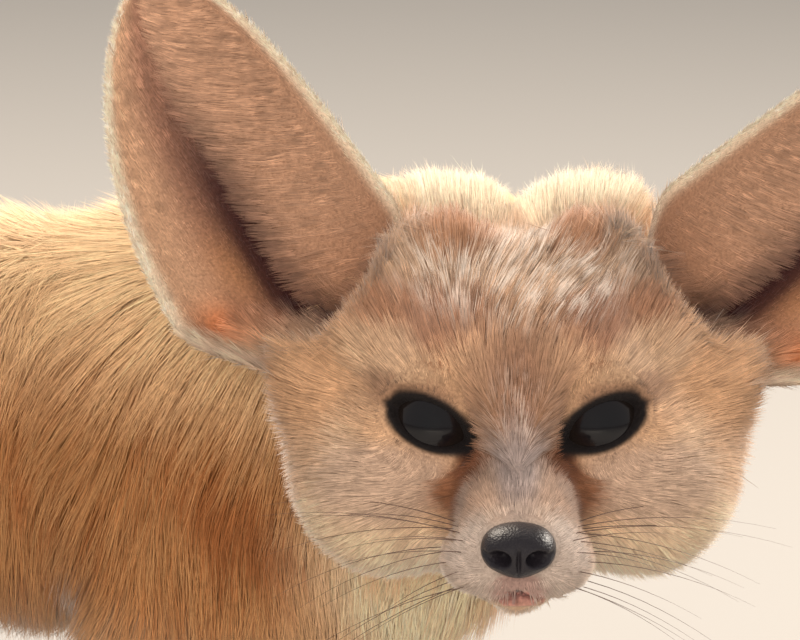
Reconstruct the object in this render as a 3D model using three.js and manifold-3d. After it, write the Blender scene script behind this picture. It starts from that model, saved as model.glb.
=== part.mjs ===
// A standing fennec fox at life size, its head held at the level of its back and turned to its right.
// Millimetres. The body faces +X, its left is +Y and the floor is z = 0. The head has a frame of its
// own, in the middle between the eyes: x runs out along the muzzle, y to the fox's left and z up.
import * as THREE from "three";
import { mergeVertices } from "three/addons/utils/BufferGeometryUtils.js";
import Module from "manifold-3d";

const wasm = await Module();
wasm.setup();

// Driving dimensions
const GAP = 0.3; // what neighbouring pieces keep between them
const ROOM = 0.6; // what is cut away around a rough neighbour, so that flat facets stay clear of it too
const EYE_HEIGHT = 184; // the eyes over the floor
const HEAD_FORWARD = 143; // the eyes ahead of the middle of the belly
const HEAD_ASIDE = -60; // the eyes to the right of the spine
const HEAD_TURN = -65; // degrees that the muzzle is turned to the fox's right
const HEAD_PITCH = 4; // degrees that the muzzle points below level
const EYE_RADIUS = 7.6;
const EYE_APART = 14.6; // each eyeball's centre from the middle of the face
const EYE_OPENING = [16, 10]; // length and height between the lids
const GAZE_UP = 15; // degrees that the eyes look up from the line of the muzzle
const EAR_LENGTH = 77; // from the notch of the cup to the tip
const EAR_SUNK = 8; // how far the ear goes on below its notch
const EAR_HALF_WIDTH = 24;
const EAR_CUP = 17; // depth of the cup near its root
const EAR_THICK = 2.6;
const EAR_SPLAY = { left: -17, right: 0 }; // degrees that each ear is rolled outward
const SPINE_HEIGHT = 160; // middle of the rib cage over the floor
const STANCE = 23; // each foot from the middle of the body
const ANKLE = 22; // height at which each paw is parted from its leg
const TIP_START = 0.7; // share of the tail at which its dark end begins

// Materials
const finish = (color, roughness) => new THREE.MeshStandardMaterial({ color, roughness, metalness: 0 });
const SAND = finish(0xd9a877, 0.9);
const CREAM = finish(0xe6c7a2, 0.9);
const EAR_SKIN = finish(0xc99a78, 0.85);
const DARK_TIP = finish(0x3a2a22, 0.9);
const NOSE_SKIN = finish(0x2a2527, 0.45);
const EYE_GLASS = finish(0x17100d, 0.08);

// Forms: each is a function that gives how far a point lies outside a smooth shape, negative inside it

const degrees = THREE.MathUtils.degToRad;
const vector = (point) => new THREE.Vector3(...point);
const bothSides = (make) => [make(1), make(-1)];

// An egg with three half-axes, turned by degrees about x, y and z.
function egg(centre, halves, turn = [0, 0, 0]) {
  const middle = vector(centre);
  const unturn = new THREE.Quaternion().setFromEuler(new THREE.Euler(...turn.map(degrees))).invert();
  return (point) => {
    const q = point.clone().sub(middle).applyQuaternion(unturn);
    q.set(q.x / halves[0], q.y / halves[1], q.z / halves[2]);
    const reach = q.length();
    const slope = Math.hypot(q.x / halves[0], q.y / halves[1], q.z / halves[2]);
    return slope > 1e-9 ? (reach * (reach - 1)) / slope : -Math.min(...halves);
  };
}

// A limb bone with its flesh: a rod with round ends that tapers from one radius to another.
function bone(from, fromRadius, to, toRadius) {
  const start = vector(from);
  const run = vector(to).sub(start);
  return (point) => {
    const along = THREE.MathUtils.clamp(point.clone().sub(start).dot(run) / run.lengthSq(), 0, 1);
    const nearest = start.clone().addScaledVector(run, along);
    return point.distanceTo(nearest) - THREE.MathUtils.lerp(fromRadius, toRadius, along);
  };
}

// Bones laid end to end, each joint written as [x, y, z, radius].
const chain = (joints) =>
  joints.slice(1).map((to, i) => bone(joints[i].slice(0, 3), joints[i][3], to.slice(0, 3), to[3]));

function softMin(a, b, soft) {
  const meeting = Math.max(soft - Math.abs(a - b), 0) / soft;
  return Math.min(a, b) - (meeting * meeting * soft) / 4;
}

// Forms melted into one, with fillets about as wide as soft.
const melt = (soft, ...forms) => (point) =>
  forms.reduce((least, form) => softMin(least, form(point), soft), Infinity);

// A form with others pressed into it.
const press = (soft, form, ...dents) => (point) =>
  dents.reduce((most, dent) => -softMin(-most, dent(point), soft), form(point));

const grown = (form, by) => (point) => form(point) - by;

// The way straight out of a form at a point.
function outward(form, point) {
  const step = 0.4;
  const slope = ["x", "y", "z"].map((axis) => {
    const ahead = point.clone();
    const behind = point.clone();
    ahead[axis] += step;
    behind[axis] -= step;
    return form(ahead) - form(behind);
  });
  return vector(slope).normalize();
}

// A point moved straight in or out until it stands at a height over the form.
function settle(form, point, height = 0) {
  const moved = point.clone();
  for (let i = 0; i < 6; i++) moved.addScaledVector(outward(form, moved), height - form(moved));
  return moved;
}

// The furthest point of the form along a ray.
function furthest(form, from, way, reach) {
  let outside = reach;
  const at = (distance) => from.clone().addScaledVector(way, distance);
  while (outside > 0 && form(at(outside)) > 0) outside -= 1;
  let inside = Math.max(outside, 0);
  outside = inside + 1;
  for (let i = 0; i < 14; i++) {
    const middle = (inside + outside) / 2;
    if (form(at(middle)) > 0) outside = middle;
    else inside = middle;
  }
  return at(inside);
}

// Solids

function solid(geometry) {
  const bare = new THREE.BufferGeometry().setAttribute("position", geometry.getAttribute("position"));
  if (geometry.index) bare.setIndex(geometry.index);
  const merged = mergeVertices(bare, 1e-3);
  const corners = [];
  for (let i = 0; i < merged.index.count; i += 3) {
    const [a, b, c] = [0, 1, 2].map((k) => merged.index.getX(i + k));
    if (a !== b && b !== c && a !== c) corners.push(a, b, c);
  }
  const vertProperties = merged.attributes.position.array;
  const made = new wasm.Manifold(
    new wasm.Mesh({ numProp: 3, vertProperties, triVerts: new Uint32Array(corners) }),
  );
  if (made.volume() > 0) return made;
  return new wasm.Manifold(
    new wasm.Mesh({ numProp: 3, vertProperties, triVerts: new Uint32Array(corners).reverse() }),
  );
}

const place = (made, matrix) => made.transform(matrix.elements);
const largest = (made) => made.decompose().reduce((a, b) => (a.volume() > b.volume() ? a : b));

// A line through points, with the side and top of anything that is bent along it.
function spine(points, top = [0, 0, 1]) {
  const curve = new THREE.CatmullRomCurve3(points.map(vector));
  return (share) => {
    const at = curve.getPoint(share);
    const along = curve.getTangent(share);
    const side = vector(top).cross(along).normalize();
    return { at, along, side, top: along.clone().cross(side) };
  };
}

// Pulls a capsule on to a form: each of its points slides out from the bent axis, square to it along
// the middle and like the spokes of a ball at both ends.
function wrap(form, axis, { around, along, ends = 4, reach = 90 }) {
  const length = 2;
  const capsule = new THREE.CapsuleGeometry(1, length, ends, around, along);
  const places = capsule.getAttribute("position");
  for (let i = 0; i < places.count; i++) {
    const [x, y, z] = [places.getX(i), places.getY(i), places.getZ(i)];
    const core = THREE.MathUtils.clamp(y, -length / 2, length / 2);
    const here = axis(core / length + 0.5);
    const way = here.side.clone().multiplyScalar(-x);
    way.addScaledVector(here.along, y - core).addScaledVector(here.top, z).normalize();
    const found = furthest(form, here.at, way, reach);
    places.setXYZ(i, found.x, found.y, found.z);
  }
  return solid(capsule);
}

function ball(centre, radius, around = 14) {
  return solid(new THREE.SphereGeometry(radius, around, 9).translate(...centre));
}

function tube(points, radius, sides) {
  const section = new THREE.Shape().absarc(0, 0, radius, 0, 2 * Math.PI);
  const path = new THREE.CatmullRomCurve3(points);
  return solid(
    new THREE.ExtrudeGeometry(section, {
      extrudePath: path,
      steps: points.length + 2,
      curveSegments: sides / 2,
    }),
  );
}

// Locks of hair

let seed = 20;
function random() {
  seed = (seed + 0x6d2b79f5) | 0;
  let mixed = Math.imul(seed ^ (seed >>> 15), 1 | seed);
  mixed = (mixed + Math.imul(mixed ^ (mixed >>> 7), 61 | mixed)) ^ mixed;
  return ((mixed ^ (mixed >>> 14)) >>> 0) / 4294967296;
}
const vary = (value, by) => value * (1 + by * (2 * random() - 1));

// The way that a lock takes over a form: its root is sunk in, its tip stands lift over the surface.
function lie(form, from, way, size) {
  const heading = way.clone();
  let at = settle(form, from, -size.sink);
  return [0, 0.3, 0.65, 1].map((rise, i, rises) => {
    const up = outward(form, at);
    heading.addScaledVector(up, -heading.dot(up)).normalize();
    const station = { at, up, side: heading.clone().cross(up) };
    const next = at.clone().addScaledVector(heading, size.length / 3);
    if (i < 3) at = settle(form, next, THREE.MathUtils.lerp(-size.sink, size.lift, rises[i + 1]));
    return station;
  });
}

// A blade along that way, ridged on top and flat beneath, widest at a third of its length.
function blade({ stations, width, thick }, swell) {
  const cone = new THREE.ConeGeometry(1, 1, 3, 3);
  const places = cone.getAttribute("position");
  for (let i = 0; i < places.count; i++) {
    const share = places.getY(i) + 0.5;
    const ring = Math.max(1 - share, 1e-6);
    const { at, up, side } = stations[Math.round(share * 3)];
    const full = [0.6, 1, 0.72, 0][Math.round(share * 3)];
    const point = at.clone();
    point.addScaledVector(side, (places.getX(i) / ring) * ((full * width) / 2 + 3 * swell));
    point.addScaledVector(up, (places.getZ(i) / ring) * ((full * thick) / 2 + swell));
    if (full === 0) point.addScaledVector(up.clone().cross(side), 2 * swell);
    places.setXYZ(i, point.x, point.y, point.z);
  }
  return solid(cone);
}

const fuse = (locks, swell = 0) => wasm.Manifold.union(locks.map((lock) => blade(lock, swell)));
const roomFor = (locks) => fuse(locks, ROOM).add(fuse(locks, GAP)).add(fuse(locks));

// Rows of locks around an axis. A row says where on the axis it stands, how far its rays tilt back
// from it, the range of angles from the top, how many locks it has, and where the hair points.
function coat(form, axis, size, rows) {
  return rows.flatMap(([share, tilt, first, last, count, point], row) => {
    const here = axis(share);
    const slots = Array.from({ length: count }, (_, i) => (i + 0.25 + 0.5 * (row % 2)) / count);
    return slots.map((slot) => {
      const angle = degrees(THREE.MathUtils.lerp(first, last, slot) + 8 * (random() - 0.5));
      const ray = here.top.clone().multiplyScalar(Math.cos(angle));
      ray.addScaledVector(here.side, Math.sin(angle)).multiplyScalar(Math.cos(degrees(tilt)));
      ray.addScaledVector(here.along, -Math.sin(degrees(tilt)));
      const from = furthest(form, here.at, ray, 90);
      const [length, width, thick] = [size.length, size.width, size.thick].map((v) => vary(v, 0.15));
      const way = point(here, ray, angle);
      const stations = lie(form, from, way, { ...size, length, lift: vary(size.lift, 0.2) });
      return { stations, width, thick };
    });
  });
}

// Where the head stands

const headPlace = new THREE.Matrix4().compose(
  new THREE.Vector3(HEAD_FORWARD, HEAD_ASIDE, EYE_HEIGHT),
  new THREE.Quaternion().setFromEuler(new THREE.Euler(0, degrees(HEAD_PITCH), degrees(HEAD_TURN), "ZYX")),
  new THREE.Vector3(1, 1, 1),
);
const fromHead = (point) => vector(point).applyMatrix4(headPlace);

// Head

const skull = melt(
  9,
  egg([-20, 0, 4], [33, 32, 27]), // brain case
  egg([-36, 0, 2], [20, 29, 27]), // back of the head
  egg([-2, 0, 4], [13, 19, 11]), // brow
  ...bothSides((side) => egg([-25, side * 31, 1], [17, 17, 19])), // temples
  ...bothSides((side) => egg([-13, side * 23, -14], [21, 20, 19.5])), // cheeks
  egg([-8, 0, -19], [22, 19, 15]), // throat
);
const muzzle = melt(
  5,
  bone([4, 0, -7], 14, [24, 0, -14.5], 9.2), // bridge
  ...bothSides((side) => egg([21, side * 6.5, -18.5], [11, 8, 6.5])), // whisker pads
  bone([0, 0, -19], 13, [25, 0, -22.5], 5.2), // lower jaw
);
const crownFur = melt(
  5,
  ...bothSides((side) => egg([-22, side * 10, 25], [9, 9, 7.5])), // folds between the ears
  ...bothSides((side) => egg([-44, side * 14, 23], [13, 13, 11])), // nape behind the ears
);
const concha = (side) => bone([-27, side * 33, 15], 7, [-41, side * 54, 50], 21);
const headForm = press(
  5,
  melt(7, skull, muzzle, crownFur),
  ...bothSides(concha), // where the cup of each ear opens
  ...bothSides((side) => egg([12, side * 19, -2], [7, 9, 6])), // eye hollows
);
const headAxis = spine([[-34, 0, -1], [-16, 0, -4], [-1, 0, -8], [12, 0, -12], [24, 0, -15.5]]);
const HEAD_GRID = { around: 26, along: 17, ends: 4 };

// Hair of the head: a ruff behind the cheeks and tufts between and behind the ears.
const backOut = (here, ray) => here.along.clone().multiplyScalar(-1).addScaledVector(ray, 0.2).add(vector([0, 0, -0.35]));
const upBack = (here) => here.along.clone().multiplyScalar(-1).add(vector([0, 0, 0.4]));
const ruff = { length: 26, width: 17, thick: 6, sink: 2.5, lift: 4 };
const tuft = { length: 15, width: 15, thick: 7, sink: 2.5, lift: 10 };
const headLocks = [
  ...coat(headForm, headAxis, ruff, [
    [0.05, 20, 88, 168, 4, backOut],
    [0.05, 20, -88, -168, 4, backOut],
  ]),
  ...coat(headForm, headAxis, tuft, [
    [0.0, 20, -40, 40, 4, upBack],
    [0.12, 0, -34, 34, 4, upBack],
  ]),
];

const eyeCentre = (side) => [-3, side * EYE_APART, 0];
const gaze = (side) => new THREE.Euler(degrees(side * 22), degrees(-GAZE_UP), degrees(side * 12), "ZYX");

// An almond that stands in front of the eye, as long and high as the lids leave open, plus a margin.
function almond(side, margin) {
  const [half, rise] = [EYE_OPENING[0] / 2 + margin, EYE_OPENING[1] + 2 * margin];
  const outline = new THREE.Shape().moveTo(-half, 0);
  outline.quadraticCurveTo(0, rise, half, 0).quadraticCurveTo(0, -rise, -half, 0);
  const blade = new THREE.ExtrudeGeometry(outline, { depth: 22, bevelEnabled: false, curveSegments: 4 });
  blade.applyMatrix4(new THREE.Matrix4().makeBasis(vector([0, 1, 0]), vector([0, 0, 1]), vector([1, 0, 0])));
  blade.applyMatrix4(new THREE.Matrix4().makeRotationFromEuler(gaze(side)));
  return solid(blade.translate(...eyeCentre(side)));
}

// Lids: a thin bowl over the eyeball, open along the almond.
function withLids(head, side) {
  const lids = ball(eyeCentre(side), EYE_RADIUS + 1.6, 12);
  return head
    .subtract(almond(side, 1.2))
    .add(lids)
    .subtract(almond(side, 0))
    .subtract(ball(eyeCentre(side), EYE_RADIUS + GAP));
}

// Mouth: a groove from corner to corner under the nose, between two raised lips.
const mouthPoints = [
  [9, -14, -25],
  [18, -12, -24.5],
  [26, -7.5, -23.2],
  [31, 0, -21.8],
  [26, 7.5, -23.2],
  [18, 12, -24.5],
  [9, 14, -25],
].map((point) => settle(headForm, vector(point)));
const lipLine = (drop) => mouthPoints.map((point) => point.clone().add(vector([-0.4, 0, drop])));

const noseForm = press(
  0.7,
  melt(
    2,
    egg([32, 0, -12.2], [5.6, 6, 4]), // leather over the nostrils
    ...bothSides((side) => egg([32.2, side * 3.2, -13.6], [5, 3.4, 3.5])), // wings of the nostrils
    egg([32, 0, -15.4], [4.8, 3.8, 2.3]), // leather between them and the lip
  ),
  ...bothSides((side) => egg([37.6, side * 2.7, -13.3], [3.4, 1.5, 1.5])), // nostrils
  ...bothSides((side) => egg([36, side * 5.3, -12.7], [2.8, 2.1, 0.8])), // slits at their sides
  egg([37.6, 0, -15.8], [1.4, 0.4, 4.4]), // groove down the middle
);
const noseAxis = spine([[31, 0, -13.4], [33, 0, -13.4]]);
const NOSE_GRID = { around: 16, along: 1, ends: 6, reach: 14 };
const nose = wrap(noseForm, noseAxis, NOSE_GRID);
const noseSeat = wrap(grown(noseForm, GAP), noseAxis, NOSE_GRID);

function headSolid() {
  let head = wrap(headForm, headAxis, HEAD_GRID);
  head = head.add(tube(lipLine(-1).slice(1, -1), 0.9, 6));
  head = head.subtract(tube(lipLine(0), 0.5, 4));
  for (const side of [1, -1]) head = withLids(head, side);
  return head.subtract(noseSeat).add(fuse(headLocks));
}

// Ears

// One ear leans back and out. Its cup opens forward: a flattened ball whose rim becomes the ear's
// outline and whose middle is pushed back.
function earPlace(side, splay) {
  const lean = vector([-0.596, side * 0.443, 0.669]).normalize();
  const facing = vector([0.94, side * 0.12, 0.32]);
  facing.addScaledVector(lean, -facing.dot(lean)).normalize();
  const across = lean.clone().cross(facing);
  const roll = new THREE.Matrix4().makeRotationAxis(vector([0.956, 0, 0.292]), degrees(splay));
  const basis = new THREE.Matrix4().makeBasis(across, lean, facing).premultiply(roll);
  return basis.setPosition(-22, side * 36, 15.5);
}

function ear(side, splay, swell = 0) {
  const body = new THREE.SphereGeometry(1, 15, 15);
  const places = body.getAttribute("position");
  for (let i = 0; i < places.count; i++) {
    const [x, y, z] = [places.getX(i), places.getY(i), places.getZ(i)];
    const up = (y + 1) / 2;
    const latitude = Math.max(Math.sqrt(1 - y * y), 1e-6);
    const across = THREE.MathUtils.clamp(x / latitude, -1, 1);
    const width = (EAR_HALF_WIDTH + swell) * Math.pow(Math.max(1 - Math.pow(up, 2.6), 0), 0.58);
    const pinch = 0.5 + 0.5 * THREE.MathUtils.smoothstep(up, -0.04, 0.24);
    const bow = 3 * Math.sin(Math.PI * up);
    const cup = EAR_CUP * Math.pow(1 - up, 0.7) * (1 - across * across);
    const half = (EAR_THICK / 2 + swell) * Math.sign(z) * Math.pow(Math.abs(z) / latitude, 0.6);
    const blunt = Math.min(latitude * 3, 1);
    const rise = -EAR_SUNK - swell + (EAR_LENGTH + EAR_SUNK + 2 * swell) * up;
    places.setXYZ(i, width * pinch * across + side * bow, rise, -cup + half * blunt);
  }
  return place(solid(body), earPlace(side, splay));
}

// Trunk and neck, one smooth form that is parted later

const bodyForm = melt(
  14,
  egg([64, 0, SPINE_HEIGHT - 7], [44, 34, 46]), // chest
  egg([102, -9, 153], [23, 25, 30]), // throat
  egg([48, 0, SPINE_HEIGHT + 14], [34, 24, 34]), // withers
  egg([12, 0, SPINE_HEIGHT - 1], [54, 37, 44]), // ribs
  egg([-42, 0, SPINE_HEIGHT + 3], [48, 32, 39]), // loins
  egg([-86, 0, SPINE_HEIGHT + 4], [38, 32, 41]), // hips
  ...bothSides((side) => egg([57, side * 20, 140], [25, 17, 38], [0, -14, 0])), // shoulders
  ...bothSides((side) => egg([-82, side * 19, 138], [31, 18, 38], [0, 20, 0])), // thighs
  ...chain([
    [58, 0, 165, 40],
    [86, -3, 174, 38],
    [108, -13, 183, 35],
    [122, -27, 188, 29],
  ]), // neck
);
const bodyAxis = spine([
  [-84, 0, 160],
  [-42, 0, 159],
  [10, 0, 157],
  [56, 0, 158],
  [86, -3, 171],
  [106, -12, 181],
  [120, -25, 187],
]);
const BODY_GRID = { around: 18, along: 16, ends: 3 };
const NECK_START = 0.66; // share of that axis at which the neck begins

// The coat lies towards the tail and down the sides. It is longest on the throat.
const tailward = (here, ray, angle) =>
  here.along.clone().multiplyScalar(-1).add(vector([0, 0, -0.5 * Math.abs(Math.sin(angle))]));
const fleece = { length: 50, width: 28, thick: 7, sink: 2.5, lift: 4 };
const torsoLocks = coat(bodyForm, bodyAxis, fleece, [
  [0, 40, -140, 140, 5, tailward],
  [0.06, 0, -125, 125, 6, tailward],
  [0.22, 0, -145, 145, 6, tailward],
  [0.37, 0, -145, 145, 7, tailward],
  [0.52, 0, -125, 125, 6, tailward],
]);
const neckLocks = coat(bodyForm, bodyAxis, { ...fleece, length: 40 }, [
  [0.7, 0, -180, 180, 7, tailward],
  [0.84, 0, -180, 180, 7, tailward],
]);

// Tail

const tailJoints = [
  [-108, 0, 172, 9],
  [-132, 1, 170, 9.5],
  [-162, 4, 150, 11],
  [-192, 9, 114, 12.5],
  [-220, 16, 78, 13],
  [-254, 24, 52, 12],
  [-284, 31, 42, 7],
  [-296, 34, 40, 4],
];
const tailForm = melt(10, ...chain(tailJoints));
const tailLie = melt(10, ...chain([...tailJoints.slice(0, -2), [-350, 50, 36, 2]])); // and past its end
const tailAxis = spine(tailJoints.slice(0, -1).map((joint) => joint.slice(0, 3)));
const TAIL_GRID = { around: 9, along: 12, ends: 2 };
const brush = { length: 54, width: 25, thick: 8, sink: 2.5, lift: 12.5 };
const downTail = (here) => here.along.clone();
const tailLocks = coat(tailLie, tailAxis, brush, [
  [0.03, 0, 0, 360, 5, downTail],
  [0.16, 0, 0, 360, 5, downTail],
  [0.29, 0, 0, 360, 6, downTail],
  [0.42, 0, 0, 360, 6, downTail],
  [0.55, 0, 0, 360, 6, downTail],
]);
const tipLocks = coat(tailLie, tailAxis, { ...brush, length: 46, lift: 10 }, [
  [0.72, 0, 0, 360, 5, downTail],
  [0.86, 0, 0, 360, 5, downTail],
  [0.98, 0, 0, 360, 3, downTail],
]);

// Legs, each with the joints of its bones and the part of the trunk's side that belongs to it

const legs = [1, -1].flatMap((side) => {
  const name = side > 0 ? "left" : "right";
  const y = side * STANCE;
  const fore = side > 0 ? 12 : -2; // how far each foot stands ahead of its resting place
  const hind = side > 0 ? -8 : 10;
  return [
    {
      name: `fore_$_${name}`,
      joints: [
        [50, y, 126, 13],
        [43 + 0.3 * fore, y, 106, 11.5],
        [50 + 0.8 * fore, y, 50, 7.2],
        [53 + fore, y, 16, 7],
      ],
      flesh: egg([48, y, 104], [22, 20, 20]),
      paw: [59 + fore, y, 30],
    },
    {
      name: `hind_$_${name}`,
      joints: [
        [-79 + 0.2 * hind, y * 1.05, 126, 15],
        [-70 + 0.5 * hind, y + side, 106, 12.5],
        [-109 + 0.8 * hind, y, 60, 7.6],
        [-102 + hind, y, 16, 6.8],
      ],
      flesh: egg([-78, y, 108], [27, 21, 24]),
      paw: [-95 + hind, y, 33],
    },
  ];
});

// A form that flares where it leaves the body, so that it seems to grow out of it.
const skirt = (form, body, soft) => (point) =>
  Math.max(softMin(form(point), body(point), soft), form(point) - soft / 2);

function legSolid(leg, by = 0) {
  const form = skirt(melt(7, ...chain(leg.joints)), bodyForm, 10);
  const axis = spine(leg.joints.map((joint) => joint.slice(0, 3)), [1, 0, 0]);
  return wrap(grown(form, by), axis, { around: 10, along: 11, ends: 2, reach: 40 });
}

// The part of the trunk that belongs to a leg, around the elbow or the knee.
function fleshSolid(leg, by = 0) {
  const [x, y] = leg.joints[1];
  const axis = spine([[x, y, 100], [x, y, 110]], [1, 0, 0]);
  return wrap(grown(leg.flesh, by), axis, { around: 14, along: 1, ends: 3, reach: 60 });
}

// A paw: four toes in front of a pad, with short claws.
function pawSolid(leg) {
  const [x, y, length] = leg.paw;
  const shank = melt(7, ...chain(leg.joints));
  const toes = [-1.5, -0.5, 0.5, 1.5].map((toe) => ({ toe, x: x + length * 0.4 - 1.3 * toe * toe }));
  const form = melt(
    2.5,
    shank,
    egg([x, y, 8], [length * 0.42, 8.6, 9.5]),
    ...toes.map(({ toe, x: tip }) => egg([tip, y + toe * 4.4, 5.4], [7.5, 2.9, 6.2], [0, 8, toe * -5])),
  );
  const axis = spine([[x - 7, y, 9], [x + 7, y, 7.5]]);
  const foot = wrap(form, axis, { around: 14, along: 1, ends: 4, reach: 34 });
  const claws = toes.map(({ toe, x: tip }) => {
    const claw = new THREE.ConeGeometry(1.2, 6, 4).rotateZ(degrees(-90)).rotateY(degrees(28));
    return solid(claw.translate(tip + 7.4, y + toe * 4.6, 4.6));
  });
  const whole = wasm.Manifold.union([foot, ...claws]);
  return whole.trimByPlane([0, 0, 1], 0).trimByPlane([0, 0, -1], -(ANKLE - GAP / 2));
}

// Nodes

const root = new THREE.Group();
const headGroup = new THREE.Group();
headGroup.applyMatrix4(headPlace);
root.add(headGroup);

function addNode(group, name, made, material) {
  const mesh = largest(made).getMesh();
  const geometry = new THREE.BufferGeometry();
  geometry.setAttribute("position", new THREE.BufferAttribute(new Float32Array(mesh.vertProperties), 3));
  geometry.setIndex(new THREE.BufferAttribute(new Uint32Array(mesh.triVerts), 1));
  geometry.computeVertexNormals();
  const node = new THREE.Mesh(geometry, material);
  node.name = name;
  group.add(node);
}

const headRoom = wrap(grown(headForm, ROOM), headAxis, HEAD_GRID).add(roomFor(headLocks));
const earRooms = [];
let head = headSolid();
addNode(headGroup, "nose", nose, NOSE_SKIN);
for (const [side, name] of [[1, "left"], [-1, "right"]]) {
  addNode(headGroup, `eye_${name}`, ball(eyeCentre(side), EYE_RADIUS), EYE_GLASS);
  addNode(headGroup, `ear_${name}`, ear(side, EAR_SPLAY[name]).subtract(headRoom), EAR_SKIN);
  earRooms.push(ear(side, EAR_SPLAY[name], GAP));
}
addNode(headGroup, "head", head, SAND);

const body = wrap(bodyForm, bodyAxis, BODY_GRID);
const seam = bodyAxis(NECK_START);
const seamAt = seam.at.dot(seam.along);
const collar = seam.along.toArray();
const headAndEars = [headRoom, ...earRooms].map((room) => place(room, headPlace));
const neck = body.trimByPlane(collar, seamAt + GAP / 2).add(fuse(neckLocks));
addNode(root, "neck", wasm.Manifold.difference([neck, ...headAndEars]), SAND);

const torsoHair = roomFor(torsoLocks);
const behind = collar.map((part) => -part);
let torso = body.add(fuse(torsoLocks)).trimByPlane(behind, -seamAt + GAP / 2);
torso = torso.subtract(roomFor(neckLocks));
for (const leg of legs) {
  const limb = body.intersect(fleshSolid(leg)).add(legSolid(leg)).subtract(torsoHair);
  addNode(root, leg.name.replace("$", "leg"), limb.trimByPlane([0, 0, 1], ANKLE + GAP / 2), SAND);
  addNode(root, leg.name.replace("$", "paw"), pawSolid(leg), CREAM);
  torso = torso.subtract(fleshSolid(leg, GAP)).subtract(legSolid(leg, ROOM));
}
addNode(root, "torso", torso, SAND);

const rump = wrap(grown(bodyForm, ROOM), bodyAxis, BODY_GRID).add(torsoHair);
const tail = wrap(tailForm, tailAxis, TAIL_GRID);
const tip = tailAxis(TIP_START);
const tipAt = tip.at.dot(tip.along);
const toRump = tip.along.clone().negate().toArray();
const tailStem = tail.trimByPlane(toRump, -tipAt + GAP / 2);
addNode(root, "tail", tailStem.add(fuse(tailLocks)).subtract(rump), SAND);
const tailEnd = tail.trimByPlane(tip.along.toArray(), tipAt + GAP / 2).add(fuse(tipLocks));
addNode(root, "tail_tip", tailEnd.subtract(roomFor(tailLocks)), DARK_TIP);

// The origin is on the floor, under the middle of the whole fox.
const reach = new THREE.Box3().setFromObject(root, true);
root.position.set(-(reach.min.x + reach.max.x) / 2, -(reach.min.y + reach.max.y) / 2, -reach.min.z);

export default root;
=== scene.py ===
# %% [markdown]
# # A standing fennec fox at life size
#
# The fennec is the smallest fox: a head as wide as a palm, ears longer than the face, sandy fur with
# white tipped hairs on the forehead, and a bushy tail with a dark end. Its solids give the size and
# the pose. Here it gets its skin, eyes, nose and coat. The skin could be sculpted by hand, but a
# formula for each muscle mass keeps it exactly where the solids are, so that is the way chosen.

import math

import bmesh
import bpy
import numpy as np
from mathutils import Euler, Matrix, Vector, kdtree


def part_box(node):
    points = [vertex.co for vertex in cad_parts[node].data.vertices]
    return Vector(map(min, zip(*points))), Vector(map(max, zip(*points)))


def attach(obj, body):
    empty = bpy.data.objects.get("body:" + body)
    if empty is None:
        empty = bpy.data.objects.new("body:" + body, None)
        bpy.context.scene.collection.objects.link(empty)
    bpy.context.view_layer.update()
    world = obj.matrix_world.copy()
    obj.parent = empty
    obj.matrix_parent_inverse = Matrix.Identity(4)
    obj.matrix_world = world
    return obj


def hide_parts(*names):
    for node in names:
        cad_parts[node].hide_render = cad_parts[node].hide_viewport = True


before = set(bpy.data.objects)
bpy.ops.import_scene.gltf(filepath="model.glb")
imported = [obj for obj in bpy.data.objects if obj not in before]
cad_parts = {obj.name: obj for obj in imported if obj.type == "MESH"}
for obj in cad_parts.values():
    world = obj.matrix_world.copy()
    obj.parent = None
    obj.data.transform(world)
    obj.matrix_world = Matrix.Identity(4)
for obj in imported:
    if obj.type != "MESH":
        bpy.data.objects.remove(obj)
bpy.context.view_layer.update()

# %% [markdown]
# The body faces +X and the head is turned to the right. All flesh is worked out in millimetres in
# the fox's own frame, and the head in one more frame between the eyes: x along the muzzle, y to the
# fox's left, z up. The eye solids tell how far the fox's frame is moved in the row's frame.

# %% Frames of the fox and its head
HEAD_AT = np.array([143.0, -60.0, 184.0])
HEAD_TURN, HEAD_PITCH = -65, 4
head_axes = np.array(Euler((0, math.radians(HEAD_PITCH), math.radians(HEAD_TURN))).to_matrix())
EYE_X, EYE_Y = -3.0, 14.6


def middle(node):
    """The middle of a solid's box, in metres."""
    low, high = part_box(node)
    return (low + high) / 2


between_eyes = (middle("eye_left") + middle("eye_right")) / 2
shift = np.array(between_eyes) * 1000 - HEAD_AT - head_axes @ [EYE_X, 0, 0]


def to_head(points):
    return (points - HEAD_AT) @ head_axes


def from_head(points):
    return np.asarray(points, float) @ head_axes.T + HEAD_AT


def to_row(points):
    """From the fox's millimetres to metres in the row's frame."""
    return (points + shift) * 0.001


print("the fox's frame is moved by", np.round(shift, 3))

# %% [markdown]
# ## Camera, floor and light
#
# The photo was taken from a few metres away, a little above the eyes, so a long lens suits it. The
# floor is plain, and large soft lamps stand in for a studio, with one from behind that draws a
# bright edge on the ears and the back.

# %% Camera
AZIMUTH, ELEVATION, DISTANCE = math.radians(25), math.radians(13), 1.5
PIXELS_PER_METRE = 5400  # at the eyes
FRAME_WIDTH, FRAME_HEIGHT = 800, 640
EYES_ACROSS, EYES_DOWN = 516, 422  # pixels from the frame's left and top to the middle between the eyes
SENSOR_WIDTH = 36
backward = Vector(
    (
        math.sin(AZIMUTH) * math.cos(ELEVATION),
        -math.cos(AZIMUTH) * math.cos(ELEVATION),
        math.sin(ELEVATION),
    )
)


def new_object(name, data):
    """An object with its data, put in the scene."""
    made = bpy.data.objects.new(name, data)
    bpy.context.scene.collection.objects.link(made)
    return made


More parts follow.
